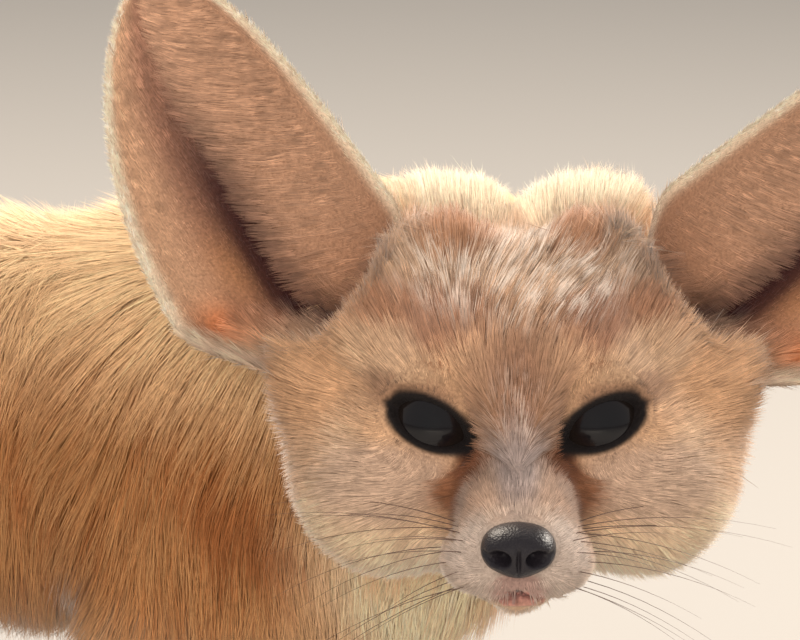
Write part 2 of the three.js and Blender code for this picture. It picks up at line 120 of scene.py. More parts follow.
camera = new_object("camera", bpy.data.cameras.new("camera"))
bpy.context.scene.camera = camera
camera.rotation_mode = "QUATERNION"
camera.rotation_quaternion = (-backward).to_track_quat("-Z", "Y")
image_right = camera.rotation_quaternion @ Vector((1, 0, 0))
image_up = camera.rotation_quaternion @ Vector((0, 1, 0))
looked_at = between_eyes + image_right * ((FRAME_WIDTH / 2 - EYES_ACROSS) / PIXELS_PER_METRE)
looked_at += image_up * ((EYES_DOWN - FRAME_HEIGHT / 2) / PIXELS_PER_METRE)
camera.location = looked_at + backward * DISTANCE
camera.data.lens = PIXELS_PER_METRE * DISTANCE * SENSOR_WIDTH / FRAME_WIDTH
camera.data.clip_end = 20
print("lens", camera.data.lens, "camera height", round(camera.location.z, 3))


# %% Materials are made by one short helper
def material(name, color=(0.5, 0.5, 0.5), **sockets):
    """A Principled material. A value that is the same all over goes straight on its socket."""
    made = bpy.data.materials.new(name)
    made.use_nodes = True
    shader = made.node_tree.nodes["Principled BSDF"]
    shader.inputs["Base Color"].default_value = (*color, 1)
    for socket, value in sockets.items():
        shader.inputs[socket.replace("_", " ")].default_value = value
    return made, made.node_tree, shader


def add_node(tree, kind, **values):
    """A node with its inputs and settings filled in by name."""
    node = tree.nodes.new(kind)
    for key, value in values.items():
        if key in node.inputs:
            node.inputs[key].default_value = value
        else:
            setattr(node, key, value)
    return node


def wire(source, output, target, socket):
    """Links an output of one node to an input of another."""
    source.id_data.links.new(source.outputs[output], target.inputs[socket])


# %% Floor
def store(work, mesh):
    """Writes a bmesh to a mesh, and frees it."""
    work.to_mesh(mesh)
    work.free()
    return mesh


floor_mesh = bmesh.new()
bmesh.ops.create_grid(floor_mesh, x_segments=1, y_segments=1, size=5)
bmesh.ops.translate(floor_mesh, verts=floor_mesh.verts, vec=(0, 0, -0.0003))
floor_data = store(floor_mesh, bpy.data.meshes.new("floor"))
floor = new_object("floor", floor_data)
floor_paint, floor_tree, floor_shader = material("matte floor", (0.36, 0.345, 0.33), Roughness=0.9)
floor_data.materials.append(floor_paint)
print("floor", [round(v, 1) for v in floor.dimensions])


# %% Lamps
def lamp(name, along, leftward, upward, size, watts, color, glossy):
    """A square soft lamp, placed from the head along the view, to its left and up, and turned to it."""
    light = bpy.data.lights.new(name, "AREA")
    light.size, light.energy, light.color = size, watts, color
    holder = new_object(name, light)
    away = backward * along - image_right * leftward + Vector((0, 0, upward))
    holder.location = between_eyes + away
    holder.rotation_mode = "QUATERNION"
    holder.rotation_quaternion = (-away).to_track_quat("-Z", "Y")
    holder.visible_glossy = glossy  # whether the wet eyes and the nose mirror it


lamp("key", 1.1, 0.8, 0.9, 1.0, 7.2, (1, 0.95, 0.88), False)
lamp("fill", 1.2, -1.0, 0.3, 1.2, 5.6, (1, 0.96, 0.9), False)
lamp("bounce", 1.0, 0.1, -0.04, 0.7, 9, (1, 0.9, 0.78), False)
lamp("edge", -0.9, 0.5, 1.1, 0.45, 24, (1, 0.88, 0.74), True)
lamp("edge right", -0.7, -0.9, 0.7, 0.4, 19, (1, 0.92, 0.82), True)
world = bpy.data.worlds.new("studio")
bpy.context.scene.world = world
world.use_nodes = True
world.node_tree.nodes["Background"].inputs["Color"].default_value = (1, 0.97, 0.94, 1)
world.node_tree.nodes["Background"].inputs["Strength"].default_value = 0.38
bpy.context.scene.view_settings.view_transform = "Standard"

# %% [markdown]
# ## Masses of flesh
#
# An anatomist sees a fox as masses: brain case, cheeks, rib cage, thigh. Each is an egg or a tapered
# rod, and each is a formula that gives how far a point lies outside of it. Two masses melt where
# their formulas come within a few millimetres of each other, as muscle runs into muscle.


# %% Eggs and rods
def egg(centre, halves, turn=(0, 0, 0)):
    """An egg with three half axes, turned by degrees about x, y and z."""
    turned = np.eye(3)
    for axis, angle in zip("XYZ", turn):
        turned = turned @ np.array(Matrix.Rotation(math.radians(angle), 3, axis))
    centre, halves = np.array(centre, float), np.array(halves, float)

    def form(points):
        scaled = (points - centre) @ turned / halves
        reach = np.linalg.norm(scaled, axis=1)
        slope = np.linalg.norm(scaled / halves, axis=1)
        return np.where(slope > 1e-9, reach * (reach - 1) / np.maximum(slope, 1e-9), -halves.min())

    scale = Matrix.Diagonal((*halves, 1))
    form.blocks = [Matrix.Translation(centre) @ Matrix(turned).to_4x4() @ scale]
    return form


def rod(start, start_radius, end, end_radius):
    """A rod with round ends that tapers from one radius to the other."""
    start, run = np.array(start, float), np.array(end, float) - np.array(start, float)

    def form(points):
        along = np.clip((points - start) @ run / (run @ run), 0, 1)
        nearest = start + along[:, None] * run
        return np.linalg.norm(points - nearest, axis=1) - (start_radius + (end_radius - start_radius) * along)

    steps = max(int(np.linalg.norm(run) / 6), 1)
    form.blocks = []
    for i in range(steps + 1):
        here = start + run * i / steps
        radius = start_radius + (end_radius - start_radius) * i / steps
        form.blocks.append(Matrix.Translation(here) @ Matrix.Scale(radius, 4))
    return form


def rods(joints):
    """Rods end to end, each joint written as (x, y, z, radius)."""
    return [rod(a[:3], a[3], b[:3], b[3]) for a, b in zip(joints, joints[1:])]


# %% Melting and pressing
def soft_min(a, b, soft):
    meeting = np.maximum(soft - np.abs(a - b), 0) / soft
    return np.minimum(a, b) - meeting * meeting * soft / 4


def melt(soft, *forms):
    """Forms that run into each other with fillets about as wide as soft."""

    def form(points):
        least = forms[0](points)
        for other in forms[1:]:
            least = soft_min(least, other(points), soft)
        return least

    form.blocks = [block for part in forms for block in part.blocks]
    return form


def press(soft, form, *dents):
    """A form with others pressed into it."""

    def pressed(points):
        most = form(points)
        for dent in dents:
            most = -soft_min(-most, dent(points), soft)
        return most

    pressed.blocks = form.blocks
    return pressed


def unit(rows):
    """Vectors of length 1 in the way of each row."""
    return rows / np.maximum(np.linalg.norm(rows, axis=-1, keepdims=True), 1e-9)


def slope_of(form, points, step=0.35):
    """The way straight out of a form, and how far each point is outside of it."""
    here = form(points)
    steps = np.eye(3) * step
    rise = np.stack([form(points + s) - here for s in steps], axis=1)
    return unit(rise), here


def settle(form, points, height=0.0, rounds=4):
    """Points moved straight in or out until they stand at a height over the form."""
    points = np.array(points, float)
    for _ in range(rounds):
        out, here = slope_of(form, points)
        points += out * np.clip(height - here, -4, 4)[:, None]
    return points


def smooth(low, high, values):
    share = np.clip((values - low) / (high - low), 0, 1)
    return share * share * (3 - 2 * share)


SIDES = ((1, "left"), (-1, "right"))
BOTH = (1, -1)

# %% [markdown]
# The head is short and wide, with a pointed muzzle. Cheeks and temples are two masses a side, the
# upper lip hangs in two pads, and the crown carries folds of loose skin between the ears.

# %% Head
skull = melt(
    9,
    egg((-20, 0, 4), (33, 32, 27)),
    egg((-36, 0, 2), (20, 29, 27)),
    egg((-2, 0, 4), (13, 19, 11)),
    *(egg((-25, s * 31, 1), (17, 17, 19)) for s in BOTH),
    *(egg((-13, s * 23, -14), (21, 20, 19.5)) for s in BOTH),
    egg((-8, 0, -19), (22, 19, 15)),
)
muzzle = melt(
    5,
    rod((4, 0, -7), 14, (24, 0, -14.5), 9.2),
    *(egg((21, s * 6.5, -18.5), (11, 8, 6.5)) for s in BOTH),
    rod((0, 0, -19), 13, (25, 0, -22.5), 5.2),
)
crown = melt(
    5,
    *(egg((-21, s * 10.5, 26.5), (8.5, 8.5, 8)) for s in BOTH),
    *(egg((-44, s * 14, 23), (13, 13, 11)) for s in BOTH),
)
outer_head = press(
    5,
    melt(7, skull, muzzle, crown, *(rod((-24, s * 17, 24), 9, (-14, s * 26, 12), 9) for s in BOTH)),
    *(rod((-27, s * 33, 15), 7, (-41, s * 54, 50), 21) for s in BOTH),
    *(egg((12, s * 19, -2), (7, 9, 6)) for s in BOTH),
)
print("head masses", len(outer_head.blocks))

# %% Trunk, tail and legs
outer_body = melt(
    14,
    egg((64, 0, 153), (44, 34, 46)),
    egg((102, -9, 153), (23, 25, 30)),
    egg((48, 0, 174), (34, 24, 34)),
    egg((12, 0, 159), (54, 37, 44)),
    egg((-42, 0, 163), (48, 32, 39)),
    egg((-86, 0, 164), (38, 32, 41)),
    *(egg((57, s * 20, 140), (25, 17, 38), (0, -14, 0)) for s in BOTH),
    *(egg((-82, s * 19, 138), (31, 18, 38), (0, 20, 0)) for s in BOTH),
    *rods([(58, 0, 165, 40), (86, -3, 174, 38), (108, -13, 183, 35), (122, -27, 188, 29)]),
)
TAIL_JOINTS = [
    (-108, 0, 172, 9),
    (-132, 1, 170, 9.5),
    (-162, 4, 150, 11),
    (-192, 9, 114, 12.5),
    (-220, 16, 78, 13),
    (-254, 24, 52, 12),
    (-284, 31, 42, 7),
    (-296, 34, 40, 4),
]
tail_core = melt(10, *rods(TAIL_JOINTS))
legs = []
paws = []
for side in BOTH:
    y = side * 23
    fore, hind = (12, -8) if side > 0 else (-2, 10)
    fore_joints = [
        (50, y, 126, 13),
        (43 + 0.3 * fore, y, 106, 11.5),
        (50 + 0.8 * fore, y, 50, 7.2),
        (53 + fore, y, 16, 7),
    ]
    hind_joints = [
        (-79 + 0.2 * hind, y * 1.05, 126, 15),
        (-70 + 0.5 * hind, y + side, 106, 12.5),
        (-109 + 0.8 * hind, y, 60, 7.6),
        (-102 + hind, y, 16, 6.8),
    ]
    legs += [fore_joints, hind_joints]
    paws += [(59 + fore, y, 30), (-95 + hind, y, 33)]
shanks = melt(7, *(part for joints in legs for part in rods(joints)))
print("legs", len(legs), "body masses", len(outer_body.blocks), "tail", len(tail_core.blocks))


# %% Paws
def toe_places(x, y, length):
    """Four toes side by side: the middle two reach further."""
    return [(x + length * 0.4 - 1.3 * toe * toe, y + toe * 4.4, toe) for toe in (-1.5, -0.5, 0.5, 1.5)]


def paw_form(x, y, length):
    toes = [egg((tx, ty, 5.4), (7.5, 2.9, 6.2), (0, 8, toe * -5)) for tx, ty, toe in toe_places(x, y, length)]
    return melt(2.0, egg((x, y, 8), (length * 0.42, 8.6, 9.5)), *toes)


feet = melt(3, *(paw_form(*paw) for paw in paws))
print("paws", len(paws))

# %% [markdown]
# ## Lids, mouth and the one skin
#
# A fennec's eye looks out of a black rimmed almond that tilts up to the outside. The flesh is
# pressed in a soft dish around it. The lids are first a closed bowl over the ball, and once the skin
# has its mesh they are cut open. The mouth is a groove under the nose with a raised lower lip. The
# skin lies under the outline by the depth of the coat: next to nothing at the lids and the nose, a
# few millimetres on the cheeks and more on the trunk.


# %% Lids
GAZE_UP = 15
BALL_RADIUS, BALL_BACK = 9.2, 0.8


def gaze(side):
    """Axes of an eye: x out along the gaze, y along the opening, z across it."""
    roll = Matrix.Rotation(math.radians(22 * side), 3, "X")
    lift = Matrix.Rotation(math.radians(-GAZE_UP), 3, "Y")
    return np.array(Matrix.Rotation(math.radians(12 * side), 3, "Z") @ lift @ roll)


def eye_middle(side):
    """The middle of the whole ball, of which the solid eye is the part that shows."""
    return np.array([EYE_X, side * EYE_Y, 0]) - BALL_BACK * gaze(side)[:, 0]


def in_eye(points, side):
    return (points - eye_middle(side)) @ gaze(side)


def almond(seen, half=8.0, rise=4.9):
    """How far a point beside the eye lies outside the black almond of its lids."""
    share = np.clip(1 - (seen[:, 1] / half) ** 2, 0, 1)
    beyond = np.maximum(np.abs(seen[:, 1]) - half, 0)
    return np.abs(seen[:, 2]) - rise * share**0.72 + beyond


LID_EDGE, UNDER_BALL = 9.35, 8.4  # distances from the ball's middle


def lid_gap(seen, half=7.7, rise=3.75):
    """The same for the opening itself, measured along the ball from the middle of the gaze."""
    reach = np.linalg.norm(seen, axis=1) + 1e-9
    along = LID_EDGE * np.arcsin(np.clip(seen[:, 1] / reach, -1, 1))
    over = LID_EDGE * np.arcsin(np.clip(seen[:, 2] / reach, -1, 1))
    gap = almond(np.stack([seen[:, 0], along, over], axis=1), half, rise)
    return np.where((seen[:, 0] > 0) & (reach < 15), gap, 20)


def with_lids(head):
    """The head with a soft dish around each eye, and in it a closed bowl of lid over the ball."""

    def form(points):
        least = head(points)
        for side in BOTH:
            seen = in_eye(points, side)
            beside = np.maximum(almond(seen, 7.6, 4.2), 0)
            front = 7.6 + 0.38 * beside + 0.045 * beside**2
            dish = np.where(seen[:, 0] > -4, (front - seen[:, 0]) / 1.2, 50)
            least = -soft_min(-least, dish, 3.0)
            bowl = np.where(seen[:, 0] > -2, np.linalg.norm(seen, axis=1) - BALL_RADIUS - 0.9, 50)
            least = soft_min(least, bowl, 2.5)
        return least

    form.blocks = head.blocks
    return form


def open_lids(points):
    """Cuts the closed lids open: points over the opening sink under the ball, with a round edge."""
    points = np.array(points, float)
    for side in BOTH:
        seen = in_eye(points, side)
        reach, gap = np.linalg.norm(seen, axis=1), lid_gap(seen)
        over = (gap < 4) & (reach > LID_EDGE - 1)
        width = 0.5 + 0.35 * np.maximum(reach - LID_EDGE, 0)
        round_edge = np.sqrt(1 - (1 - np.clip(gap / width, 0, 1)) ** 2)
        new_reach = LID_EDGE + (reach - LID_EDGE) * round_edge
        new_reach = np.where(gap < 0, UNDER_BALL + (LID_EDGE - UNDER_BALL) * smooth(-0.3, 0, gap), new_reach)
        moved = seen * (new_reach / np.maximum(reach, 1e-9))[:, None] @ gaze(side).T + eye_middle(side)
        points = np.where(over[:, None], moved, points)
    return points


# %% Depth of the coat over the head
def head_depth(points):
    """How far the skin lies under the outline of the head."""
    depth = 0.8 + 2.6 * smooth(22, -8, points[:, 0]) + 1.6 * smooth(-12, -34, points[:, 0])
    for side in BOTH:
        seen = in_eye(points, side)
        depth = depth * (0.12 + 0.88 * smooth(9, 19, np.linalg.norm(seen, axis=1)))
        hump = np.linalg.norm(points - [-44, side * 14, 34], axis=1)
        depth = depth * (1 - 0.7 * smooth(18, 9, hump))
    return depth


def sunk_head(points):
    return outer_head(points) + head_depth(points)


sunk_head.blocks = outer_head.blocks

# %% Mouth
half_mouth = [(9, 14, -25), (18, 12, -24.5), (26, 7.5, -23.2)]
mouth_guide = [(x, -y, z) for x, y, z in half_mouth] + [(31, 0, -21.8)] + half_mouth[::-1]
mouth = settle(sunk_head, np.array(mouth_guide, float), 0.1, 8)


def lip_rods(drop, radius):
    line = mouth + np.array([-0.5, 0, drop])
    return rods([(*point, radius) for point in line])


head_with_lip = melt(1.2, sunk_head, *lip_rods(-1.1, 1.0)[1:-1])
head_with_mouth = press(0.5, head_with_lip, *lip_rods(0, 0.55))
head_skin = with_lids(head_with_mouth)
print("mouth", np.round(mouth[3], 1))

# %% All flesh in one formula
BODY_DEPTH = 6.0
LEG_DEPTH = 1.4


def head_flesh(points):
    return head_skin(to_head(points))


def body_flesh(points):
    return outer_body(points) + BODY_DEPTH


def leg_flesh(points):
    return np.minimum(soft_min(shanks(points), feet(points), 6) + LEG_DEPTH, 90)


def flesh(points):
    body = soft_min(head_flesh(points), body_flesh(points), 9)
    body = soft_min(body, leg_flesh(points), 9)
    return soft_min(body, tail_core(points), 10)


# %% [markdown]
# The skin starts as a blockout: a ball for every mass, as a sculptor presses pellets of clay
# together. A voxel remesh makes one closed surface of them, and each of its points then slides on
# to the formula. The face is subdivided before that, twice around the muzzle and once more at the
# lids, so that they are crisp without a fine mesh everywhere.

# %% Blockout
skin_mesh = bmesh.new()
head_matrix = Matrix(head_axes).to_4x4()
head_matrix.translation = HEAD_AT
blocks = [head_matrix @ block for block in outer_head.blocks]
for form in (outer_body, tail_core, shanks, feet):
    blocks += form.blocks
for block in blocks:
    bmesh.ops.create_icosphere(skin_mesh, subdivisions=3, radius=1, matrix=block)
blockout = store(skin_mesh, bpy.data.meshes.new("blockout"))
print("blockout", len(blocks), "balls", len(blockout.polygons), "faces")

# %% One closed surface
VOXEL = 2.2
clay = new_object("clay", blockout)
remesh = clay.modifiers.new("voxels", "REMESH")
remesh.mode, remesh.voxel_size = "VOXEL", VOXEL
depsgraph = bpy.context.evaluated_depsgraph_get()
skin_data = bpy.data.meshes.new_from_object(clay.evaluated_get(depsgraph))
bpy.data.objects.remove(clay)
print("remeshed", len(skin_data.vertices), "points")


# %% Slide on to the formula, and refine the face
def places_of(mesh):
    flat = np.empty(len(mesh.vertices) * 3, np.float64)
    mesh.vertices.foreach_get("co", flat)
    return flat.reshape(-1, 3)


def points_of(work):
    return np.array([vert.co[:] for vert in work.verts])


def move_points(work, points):
    for vert, point in zip(work.verts, points):
        vert.co = point


def smooth_points(work, factor):
    bmesh.ops.smooth_vert(work, verts=work.verts, factor=factor, use_axis_x=True, use_axis_y=True, use_axis_z=True)


def relax(mesh, form, rounds):
    """Smooths a mesh and slides it back on to the form, so that its faces stay even."""
    work = bmesh.new()
    work.from_mesh(mesh)
    for _ in range(rounds):
        smooth_points(work, 0.5)
        move_points(work, settle(form, points_of(work), 0, 2))
    move_points(work, settle(form, points_of(work), 0, 3))
    return work


def refine(work, inside):
    """Halves the edges whose both ends lie in a zone."""
    points = to_head(points_of(work))
    chosen = inside(points)
    work.verts.index_update()
    edges = [e for e in work.edges if chosen[e.verts[0].index] and chosen[e.verts[1].index]]
    bmesh.ops.subdivide_edges(work, edges=edges, cuts=1, use_grid_fill=True)


def on_face(points):
    return np.linalg.norm(points - [8, 0, -8], axis=1) < 40


def on_muzzle(points):
    near_eyes = np.min([np.linalg.norm(points - [EYE_X + 4, s * EYE_Y, 0], axis=1) for s in BOTH], axis=0)
    return (near_eyes < 14) | ((points[:, 0] > 12) & (np.abs(points[:, 1]) < 18))


mouth_line = melt(0.1, *lip_rods(0, 0.1))


def on_lids(points):
    near = mouth_line(points) < 2.0
    for side in BOTH:
        seen = in_eye(points, side)
        near |= np.abs(lid_gap(seen)) < 2.0
    return near


skin_work = relax(skin_data, flesh, 3)
refine(skin_work, on_face)
refine(skin_work, on_muzzle)
store(skin_work, skin_data)
skin_work = relax(skin_data, flesh, 1)
refine(skin_work, on_lids)
store(skin_work, skin_data)
points = settle(flesh, places_of(skin_data), 0, 4)
points = from_head(open_lids(to_head(points)))
points[:, 2] = np.maximum(points[:, 2], 0.0)
skin_data.vertices.foreach_set("co", points.ravel())
skin_data.update()
skin_triangles = sum(len(face.vertices) - 2 for face in skin_data.polygons)
print("skin", len(skin_data.vertices), "points", skin_triangles, "triangles")

# %% [markdown]
# ## Ears
#
# An ear is a thin sheet of cartilage, folded into a deep cup at its root and flat at its tip. It
# starts as a ball whose poles are the root and the tip. Each ring is pulled to the ear's width there,
# which gives the outline, and its middle is pushed back, which gives the cup.

# %% Ear frame
EAR_LENGTH, EAR_SUNK, EAR_HALF_WIDTH, EAR_CUP = 77, 8, 24, 17
EAR_SPLAY = {1: -17, -1: 0}


def ear_frame(side):
    """Axes of an ear in the head's frame, as columns: across, up along the ear, out of its cup."""
    lean = Vector((-0.596, side * 0.443, 0.669)).normalized()
    facing = Vector((0.94, side * 0.12, 0.32))
    facing = (facing - lean * facing.dot(lean)).normalized()
    across = lean.cross(facing)
    roll = np.array(Matrix.Rotation(math.radians(EAR_SPLAY[side]), 3, Vector((0.956, 0, 0.292))))
    return roll @ np.array([across, lean, facing]).T, np.array([-22.0, side * 36, 15.5])


def crease_line(up):
    """How far outward the deepest line of the cup runs, which bends in at its root."""
    return np.interp(up, [0.05, 0.09, 0.165, 0.24, 0.6, 0.8], [-0.5, -0.3, 0.01, 0.11, 0.13, 0.2])


def ear_width(up):
    """Half the width of the ear at a height, which is pinched at its root."""
    width = EAR_HALF_WIDTH * np.maximum(1 - np.maximum(up, 0) ** 2.6, 0) ** 0.58
    return width * (0.5 + 0.5 * smooth(-0.04, 0.24, up))


def ear_bow(up, side):
    """How far the ear bends outward halfway up."""
    return side * (3 * np.sin(np.pi * up))


def soft_spot(outer, up, middle, halves):
    """1 in the middle of a soft round spot on the sheet of an ear, 0 away from it."""
    return np.exp(-(((outer - middle[0]) / halves[0]) ** 2) - ((up - middle[1]) / halves[1]) ** 2)


def ear_sheet(across, up, thick, side):
    """A point of the ear: across from -1 to 1, up from 0 to 1, thick in millimetres off its middle."""
    outer = across * side
    cup = EAR_CUP * (1 - up) ** 0.7 * (1 - across**2)
    crease = 3.0 * np.exp(-(((outer - crease_line(up)) / 0.11) ** 2))
    crease = crease * smooth(0.75, 0.2, up) * smooth(0.0, 0.1, up)
    fold = 2.4 * soft_spot(outer, up, (0.58, 0.2), (0.09, 0.07))
    fold -= 1.8 * soft_spot(outer, up, (0.76, 0.22), (0.09, 0.05))
    x = ear_width(up) * across + ear_bow(up, side)
    y = -EAR_SUNK + (EAR_LENGTH + EAR_SUNK) * up
    return np.stack([x, y, -cup - crease + fold + thick], axis=1)


# %% Ear meshes
def steady_ball(around, along, radius):
    """A ball with poles. The operator's faces come in another order each time, so they are sorted."""
    work, steady = bmesh.new(), bmesh.new()
    bmesh.ops.create_uvsphere(work, u_segments=around, v_segments=along, radius=radius)
    work.verts.index_update()
    verts = [steady.verts.new(vert.co) for vert in work.verts]
    for corners in sorted([vert.index for vert in face.verts] for face in work.faces):
        steady.faces.new([verts[i] for i in corners])
    work.free()
    return steady


def ear_mesh(side):
    """The thin cup of one ear, in the fox's frame."""
    work = steady_ball(72, 60, 1)
    ball = points_of(work)
    across_ball, thick_ball, pole = ball[:, 0], -ball[:, 1], ball[:, 2]
    ring = np.maximum(np.sqrt(np.maximum(1 - pole**2, 0)), 1e-6)
    across = np.clip(across_ball / ring, -1, 1)
    up = (pole + 1) / 2
    half = 0.35 + 0.75 * smooth(1.0, 0.1, up)
    thick = half * np.sign(thick_ball) * (np.abs(thick_ball) / ring) ** 0.6 * np.minimum(ring * 3, 1)
    sheet = ear_sheet(across, up, thick, side)
    axes, root = ear_frame(side)
    move_points(work, from_head(sheet @ axes.T + root))
    bmesh.ops.recalc_face_normals(work, faces=work.faces)
    return work


skin_work = bmesh.new()
skin_work.from_mesh(skin_data)
for side in BOTH:
    skin_work.from_mesh(store(ear_mesh(side), bpy.data.meshes.new("ear")))
store(skin_work, skin_data)
print("skin with ears", len(skin_data.vertices), "points")

# %% [markdown]
# ## Markings, and painted light and shade
#
# Skin and coat carry the same markings, so both ask one function for the colour of a place. Each
# mark is a soft egg in the head's or the body's frame, laid over the sandy ground in the order in
# which an illustrator would lay washes. Some washes are painted light and shade: sunlight on the
# top of the back and the crown, shade on the flanks, in the coat and down the fold of each ear.


# %% Washes
def plain(row, points):
    """The same row of values, such as a colour, at all points."""
    return np.tile(row, (len(points), 1))


def blend(values, others, share):
    """Goes from one row of values to another, such as a tint, by a share from 0 to 1 at each point."""
    return values + (np.array(others) - values) * share[:, None]


def wash(color, points, centre, halves, tint, strength=1.0, soft=0.6):
    """Lays a tint over the colour inside a soft egg."""
    reach = np.linalg.norm((points - centre) / halves, axis=1)
    return blend(color, tint, strength * smooth(1 + soft / 2, 1 - soft / 2, reach))


# %% Marks on the head
# Middle, half axes, tint, strength and softness of each wash, for both sides of the face.
HEAD_MARKS = [
    ((-6, 34, -22), (26, 22, 20), (0.86, 0.62, 0.42), 0.9),  # pale cheek
    ((-12, 37, -7), (14, 10, 9), (0.52, 0.28, 0.155), 0.6),  # rust at the side of the cheek
    ((14, 12, -27), (22, 14, 9), (0.84, 0.64, 0.47), 0.9),  # pale jaw
    ((-18, 36, 6), (18, 14, 12), (0.60, 0.335, 0.18), 0.7),  # temple
    ((4, 22, -9), (12, 12, 7), (0.46, 0.315, 0.235), 0.8),  # under the eye
    ((-5, 15, 16.5), (12, 15, 6), (0.33, 0.15, 0.08), 0.9),  # over the eye
    ((-6, 9, 16), (12, 11, 5.5), (0.29, 0.135, 0.075), 0.9),  # inner brow
    ((-2, 22, 11), (8, 12, 4), (0.54, 0.35, 0.22), 0.8),  # pale brow
    ((1, 19, 6.5), (7, 9, 3), (0.30, 0.165, 0.10), 0.85),  # line over the lid
    ((-14, 0, 25), (12, 22, 12), (0.46, 0.31, 0.215), 0.75),  # forehead
    ((6, 0, 6), (12, 8, 13), (0.25, 0.12, 0.072), 0.85, 1.0),  # between the eyes
    ((14, 9, -6.5), (8, 4.5, 8), (0.27, 0.135, 0.075), 0.9),  # beside the bridge
    ((18, 0, -5), (14, 5.0, 9), (0.33, 0.265, 0.25), 0.9, 1.1),  # bridge
    ((-17, 10.5, 29), (7, 8, 6), (0.36, 0.165, 0.08), 0.9),  # front mound of the crown: its own brown, deepened on its front by painted shade
    ((-42, 12, 35), (17, 20, 12), (0.87, 0.71, 0.52), 0.9),  # rear mound of the crown: pale hair, brightened on its top by painted sunlight
    ((22, 8, -9), (7, 4.5, 6), (0.38, 0.25, 0.185), 0.8, 0.9),  # end of the bridge
    ((28, 0, -16), (9, 14.5, 8), (0.51, 0.41, 0.35), 0.95, 0.5),  # lips and pads
    ((31, 0, -19.6), (4, 4.5, 2.0), (0.34, 0.20, 0.17), 0.8),  # under the nose
    ((10.5, 8.5, -3), (6, 3.4, 5), (0.17, 0.06, 0.026), 1.0, 0.9),  # tear mark, top
    ((12.5, 12.5, -8.5), (6, 3.4, 5), (0.21, 0.078, 0.032), 0.95, 1.0),  # tear mark, middle
    ((14, 15.5, -13), (6, 3.1, 5), (0.18, 0.066, 0.028), 0.9, 1.0),  # tear mark, low
    ((17, 15, -18), (6, 2.8, 5), (0.24, 0.10, 0.055), 0.7, 1.0),  # tear mark, end
    ((-25, 27, 24), (11, 9, 9), (0.50, 0.28, 0.165), 0.75),  # foot of the ear
    ((-22, 31, 19), (7, 6, 5), (0.20, 0.095, 0.06), 0.6),  # shadow at the foot of the ear
]


def head_color(points):
    """Colour of the coat at places in the head's frame."""
    mirrored = points * 1.0
    mirrored[:, 1] = np.abs(points[:, 1])
    color = plain([0.60, 0.36, 0.215], points)
    for mark in HEAD_MARKS:
        color = wash(color, mirrored, *mark)
    return color


# %% Marks around the eyes, and bare skin
def eye_rim(points):
    """1 on the black rim of the lids and in the tear corner, 0 away from them."""
    most = np.zeros(len(points))
    for side in BOTH:
        seen = in_eye(points, side)
        rim = smooth(1.7, 0.55, lid_gap(seen))
        inner = seen[:, 1] * -side
        tear = smooth(1.5, 0.4, np.hypot(seen[:, 2] + 0.3, np.maximum(inner - 9.2, 0) * 0.8) - 0.4)
        tear *= (inner > 6) & (seen[:, 0] > 0)
        near = np.linalg.norm(seen, axis=1) < 16
        most = np.maximum(most, np.maximum(rim, tear) * near)
    return most


def lip_skin(points):
    """1 on the bare lower lip under the nose, 0 away from it."""
    across = smooth(5.6, 4.2, np.abs(points[:, 1])) * smooth(24, 27, points[:, 0])
    below = mouth[3, 2] - points[:, 2]
    return across * smooth(-0.6, 0.1, below) * smooth(3.4, 2.4, below)


# %% Marks on the trunk, the legs and the tail
random = np.random.default_rng(7)
RIPPLES = random.normal(size=(18, 3))


def ripple(points, size, first=0):
    """Smooth noise from crossing waves, about -1 to 1, with spots about as wide as size."""
    waves = unit(RIPPLES[first : first + 6])
    phases = points @ (waves.T * 2 * np.pi / size * np.linspace(0.7, 1.6, 6)) + np.arange(6) * 1.7
    return np.sin(phases).mean(axis=1) * 2.2


def body_color(points):
    """Colour of the coat at places in the fox's frame, away from the head, with painted shade on the flanks and painted
    sunlight on the top of the back.
    """
    z, side = points[:, 2], np.abs(points[:, 1])
    # ground colour of the flanks: partly their own sandy brown, partly darkened as painted shade
    color = plain([0.41, 0.168, 0.055], points)
    # painted sunlight: the top of the back is made lighter
    color = blend(color, [0.92, 0.60, 0.34], smooth(170, 198, z))
    # painted shade: dark patches in the flank hair, as of shadow deep in the coat
    painted_shade_patches = smooth(0.0, 0.9, ripple(points, 70, 9)) * smooth(192, 170, z)
    color = blend(color, [0.33, 0.125, 0.042], 0.6 * painted_shade_patches)
    color = blend(color, [0.80, 0.60, 0.41], smooth(144, 104, z))
    color = blend(color, [0.86, 0.73, 0.58], smooth(132, 112, z) * smooth(30, 12, side))
    color = blend(color, [0.84, 0.70, 0.54], smooth(46, 20, z))
    return wash(color, points, (126, -44, 136), (42, 40, 40), (1.1, 0.82, 0.55))


TIP_SHARE = 0.7


def tail_color(points, share):
    """Colour of the brush: reddish sand, a dark spot near its root and a dark end."""
    color = plain([0.60, 0.37, 0.19], points)
    color = wash(color, points, (-150, 3, 176), (16, 14, 14), (0.13, 0.065, 0.04), 0.85)
    return blend(color, [0.055, 0.032, 0.024], smooth(TIP_SHARE - 0.04, TIP_SHARE + 0.05, share))


